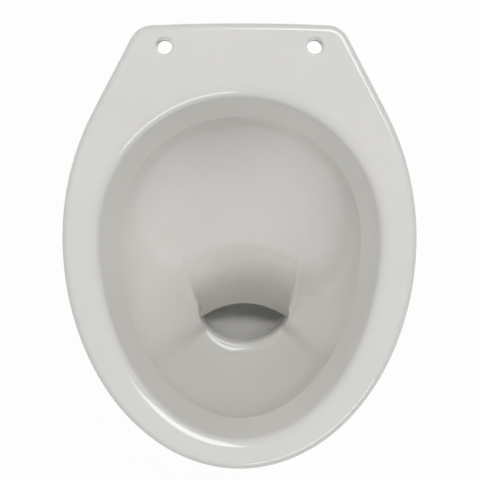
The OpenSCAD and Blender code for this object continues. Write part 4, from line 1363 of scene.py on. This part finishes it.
class PAN_OT_clear_formers(PieceOperator, bpy.types.Operator):
    """Take away the formers that the pieces were shaped on"""
    bl_idname = "pan.clear_formers"
    bl_label = "Clear Formers"

    def execute(self, context):
        for obj in [o for o in bpy.data.objects if o.name.startswith("former_")]:
            bpy.data.objects.remove(obj)
        return {"FINISHED"}


class PAN_OT_stage(PieceOperator, bpy.types.Operator):
    """Set up the pale floor, the soft studio light and the camera over the pan"""
    bl_idname = "pan.stage"
    bl_label = "Stage"
    # Strength of the left lamp against the right one, and of the back glint against the front one
    LEFT_SHARE, BACK_SHARE = 2, 0.85
    # The lamps stand this far from a point inside the bowl
    AIM, DISTANCE = Vector((0, 0, 0.35)), 2.2
    # The camera is over the pan, and the picture's side takes in this angle
    CAMERA, VIEW_ANGLE, SENSOR_MM = (0.0005, 0.0062, 1.6), radians(23.2), 36.0
    FLOOR_HALF, FLOOR_DEPTH, FLOOR_WHITE = 6.0, 0.02, 0.96

    def execute(self, context):
        scene, looks = context.scene, context.scene.pan_looks
        scene.view_settings.view_transform = "Standard"
        self.floor()
        self.sky(scene, looks.sky)
        # Lamps that light softly and don't show in the glaze
        for lamp in (
                self.lamp("key_lamp", 76, 58, (1.6, 1.6), looks.key),
                self.lamp("front_lamp", -66, 48, (1.6, 0.5), looks.front),
                self.lamp("right_lamp", 0, 40, (0.8, 0.8), looks.side),
                self.lamp("left_lamp", 180, 42, (0.8, 0.8), looks.side * self.LEFT_SHARE)):
            lamp.visible_glossy = False
        # Lamps that only show in the glaze, where the photograph has its bright lines
        back = self.lamp("back_glint", 60, 52, (1.3, 1.3), looks.glint * self.BACK_SHARE)
        front = self.lamp("front_glint", -62, 44, (1.6, 0.35), looks.glint)
        for lamp in (back, front):
            lamp.visible_diffuse = False
        self.only_on(front, "glazed_rim")
        self.only_on(self.lamp("sump_lamp", 75, 66, (0.5, 0.5), looks.sump), "sump")
        self.camera(scene)
        return {"FINISHED"}

    @staticmethod
    def lamp(name, round_from_right, up, size, radiance):
        """A soft lamp aimed at the rim, at angles in degrees round from the right and up."""
        data = bpy.data.lights.new(name, "AREA")
        data.shape, data.size, data.size_y = "RECTANGLE", *size
        data.energy = radiance * pi * size[0] * size[1]
        lamp = bpy.data.objects.new(name, data)
        turn, lift = radians(round_from_right), radians(up)
        away = Vector((cos(lift) * cos(turn), cos(lift) * sin(turn), sin(lift)))
        lamp.location = PAN_OT_stage.AIM + away * PAN_OT_stage.DISTANCE
        lamp.rotation_euler = away.to_track_quat("Z", "Y").to_euler()
        bpy.context.scene.collection.objects.link(lamp)
        return lamp

    @staticmethod
    def only_on(lamp, piece):
        """Lets the lamp light this piece alone."""
        lit = bpy.data.collections.new(lamp.name + "_lit")
        lit.objects.link(bpy.data.objects[piece])
        lamp.light_linking.receiver_collection = lit

    def camera(self, scene):
        data = bpy.data.cameras.new("camera")
        data.sensor_width = self.SENSOR_MM
        data.lens = self.SENSOR_MM / 2 / tan(self.VIEW_ANGLE / 2)
        camera = bpy.data.objects.new("camera", data)
        camera.location = self.CAMERA
        scene.collection.objects.link(camera)
        scene.camera = camera

    @staticmethod
    def seen_white(tree, shader, white, lit):
        """Shows plain white to the camera, to reflections and through glass, and the shader else."""
        path = add(tree, "ShaderNodeLightPath").outputs
        mirrored = maths(tree, "MAXIMUM", path["Is Glossy Ray"], path["Is Transmission Ray"])
        seen = maths(tree, "MAXIMUM", path["Is Camera Ray"], mirrored)
        choice = {0: maths(tree, "MULTIPLY", seen, lit), 1: shader, 2: white}
        return add(tree, "ShaderNodeMixShader", choice).outputs[0]

    def floor(self):
        side, depth = self.FLOOR_HALF, self.FLOOR_DEPTH
        floor = block("floor", (-side, -side, -depth), (side, side, 0))
        floor.data.materials.clear()
        material = bpy.data.materials.new("pale_floor")
        material.use_nodes = True
        tree = material.node_tree
        shader = tree.nodes["Principled BSDF"]
        clouds = {"Color": (0.86, 0.86, 0.86), "Tint": (0.83, 0.83, 0.83), "Scale": 2.0}
        mottle = add(tree, "ShaderNodeGroup", clouds, node_tree=fired_mottle())
        feed(tree, shader.inputs["Base Color"], mottle.outputs["Color"])
        feed(tree, shader.inputs["Roughness"], 0.8)
        glow = add(tree, "ShaderNodeEmission", {"Color": (1, 1, 1)})
        out = self.seen_white(tree, shader.outputs[0], glow.outputs[0], self.FLOOR_WHITE)
        tree.links.new(out, tree.nodes["Material Output"].inputs["Surface"])
        floor.data.materials.append(material)

    def sky(self, scene, strength):
        world = bpy.data.worlds.new("soft_sky")
        world.use_nodes = True
        tree = world.node_tree
        soft = tree.nodes["Background"]
        feed(tree, soft.inputs["Color"], (1.0, 0.995, 0.98))
        feed(tree, soft.inputs["Strength"], strength)
        white = add(tree, "ShaderNodeBackground", {"Color": (1, 1, 1)})
        out = self.seen_white(tree, soft.outputs[0], white.outputs[0], 1.0)
        tree.links.new(out, tree.nodes["World Output"].inputs["Surface"])
        scene.world = world


class PAN_PT_sidebar(bpy.types.Panel):
    """Lists the sizes and the pieces."""
    bl_idname = "PAN_PT_sidebar"
    bl_label = "Toilet Bowl"
    bl_space_type = "VIEW_3D"
    bl_region_type = "UI"
    bl_category = "Pan"

    def draw(self, context):
        for name, group in GROUPS.items():
            box = self.layout.box()
            box.label(text=group.__doc__)
            for prop in group.__annotations__:
                box.prop(getattr(context.scene, name), prop)
        for operator in OPERATORS:
            self.layout.operator(operator.bl_idname)


OPERATORS = (
    PAN_OT_rim, PAN_OT_wash_ring, PAN_OT_bowl, PAN_OT_trap, PAN_OT_pedestal, PAN_OT_foot, PAN_OT_outlet,
    PAN_OT_inlet, PAN_OT_bushes, PAN_OT_bare_pieces, PAN_OT_clear_formers, PAN_OT_stage,
)


def register():
    for group in GROUPS.values():
        bpy.utils.register_class(group)
    for operator in OPERATORS:
        bpy.utils.register_class(operator)
    bpy.utils.register_class(PAN_PT_sidebar)
    for name, group in GROUPS.items():
        setattr(bpy.types.Scene, name, bpy.props.PointerProperty(type=group))


def unregister():
    for name in GROUPS:
        delattr(bpy.types.Scene, name)
    bpy.utils.unregister_class(PAN_PT_sidebar)
    for operator in reversed(OPERATORS):
        bpy.utils.unregister_class(operator)
    for group in reversed(GROUPS.values()):
        bpy.utils.unregister_class(group)


def main():
    register()
    steps = bpy.ops.pan
    for make in (
            steps.rim, steps.wash_ring, steps.bowl, steps.trap, steps.pedestal, steps.foot, steps.outlet,
            steps.inlet, steps.bushes, steps.bare_pieces, steps.clear_formers, steps.stage):
        make()


if __name__ == "__main__":
    main()
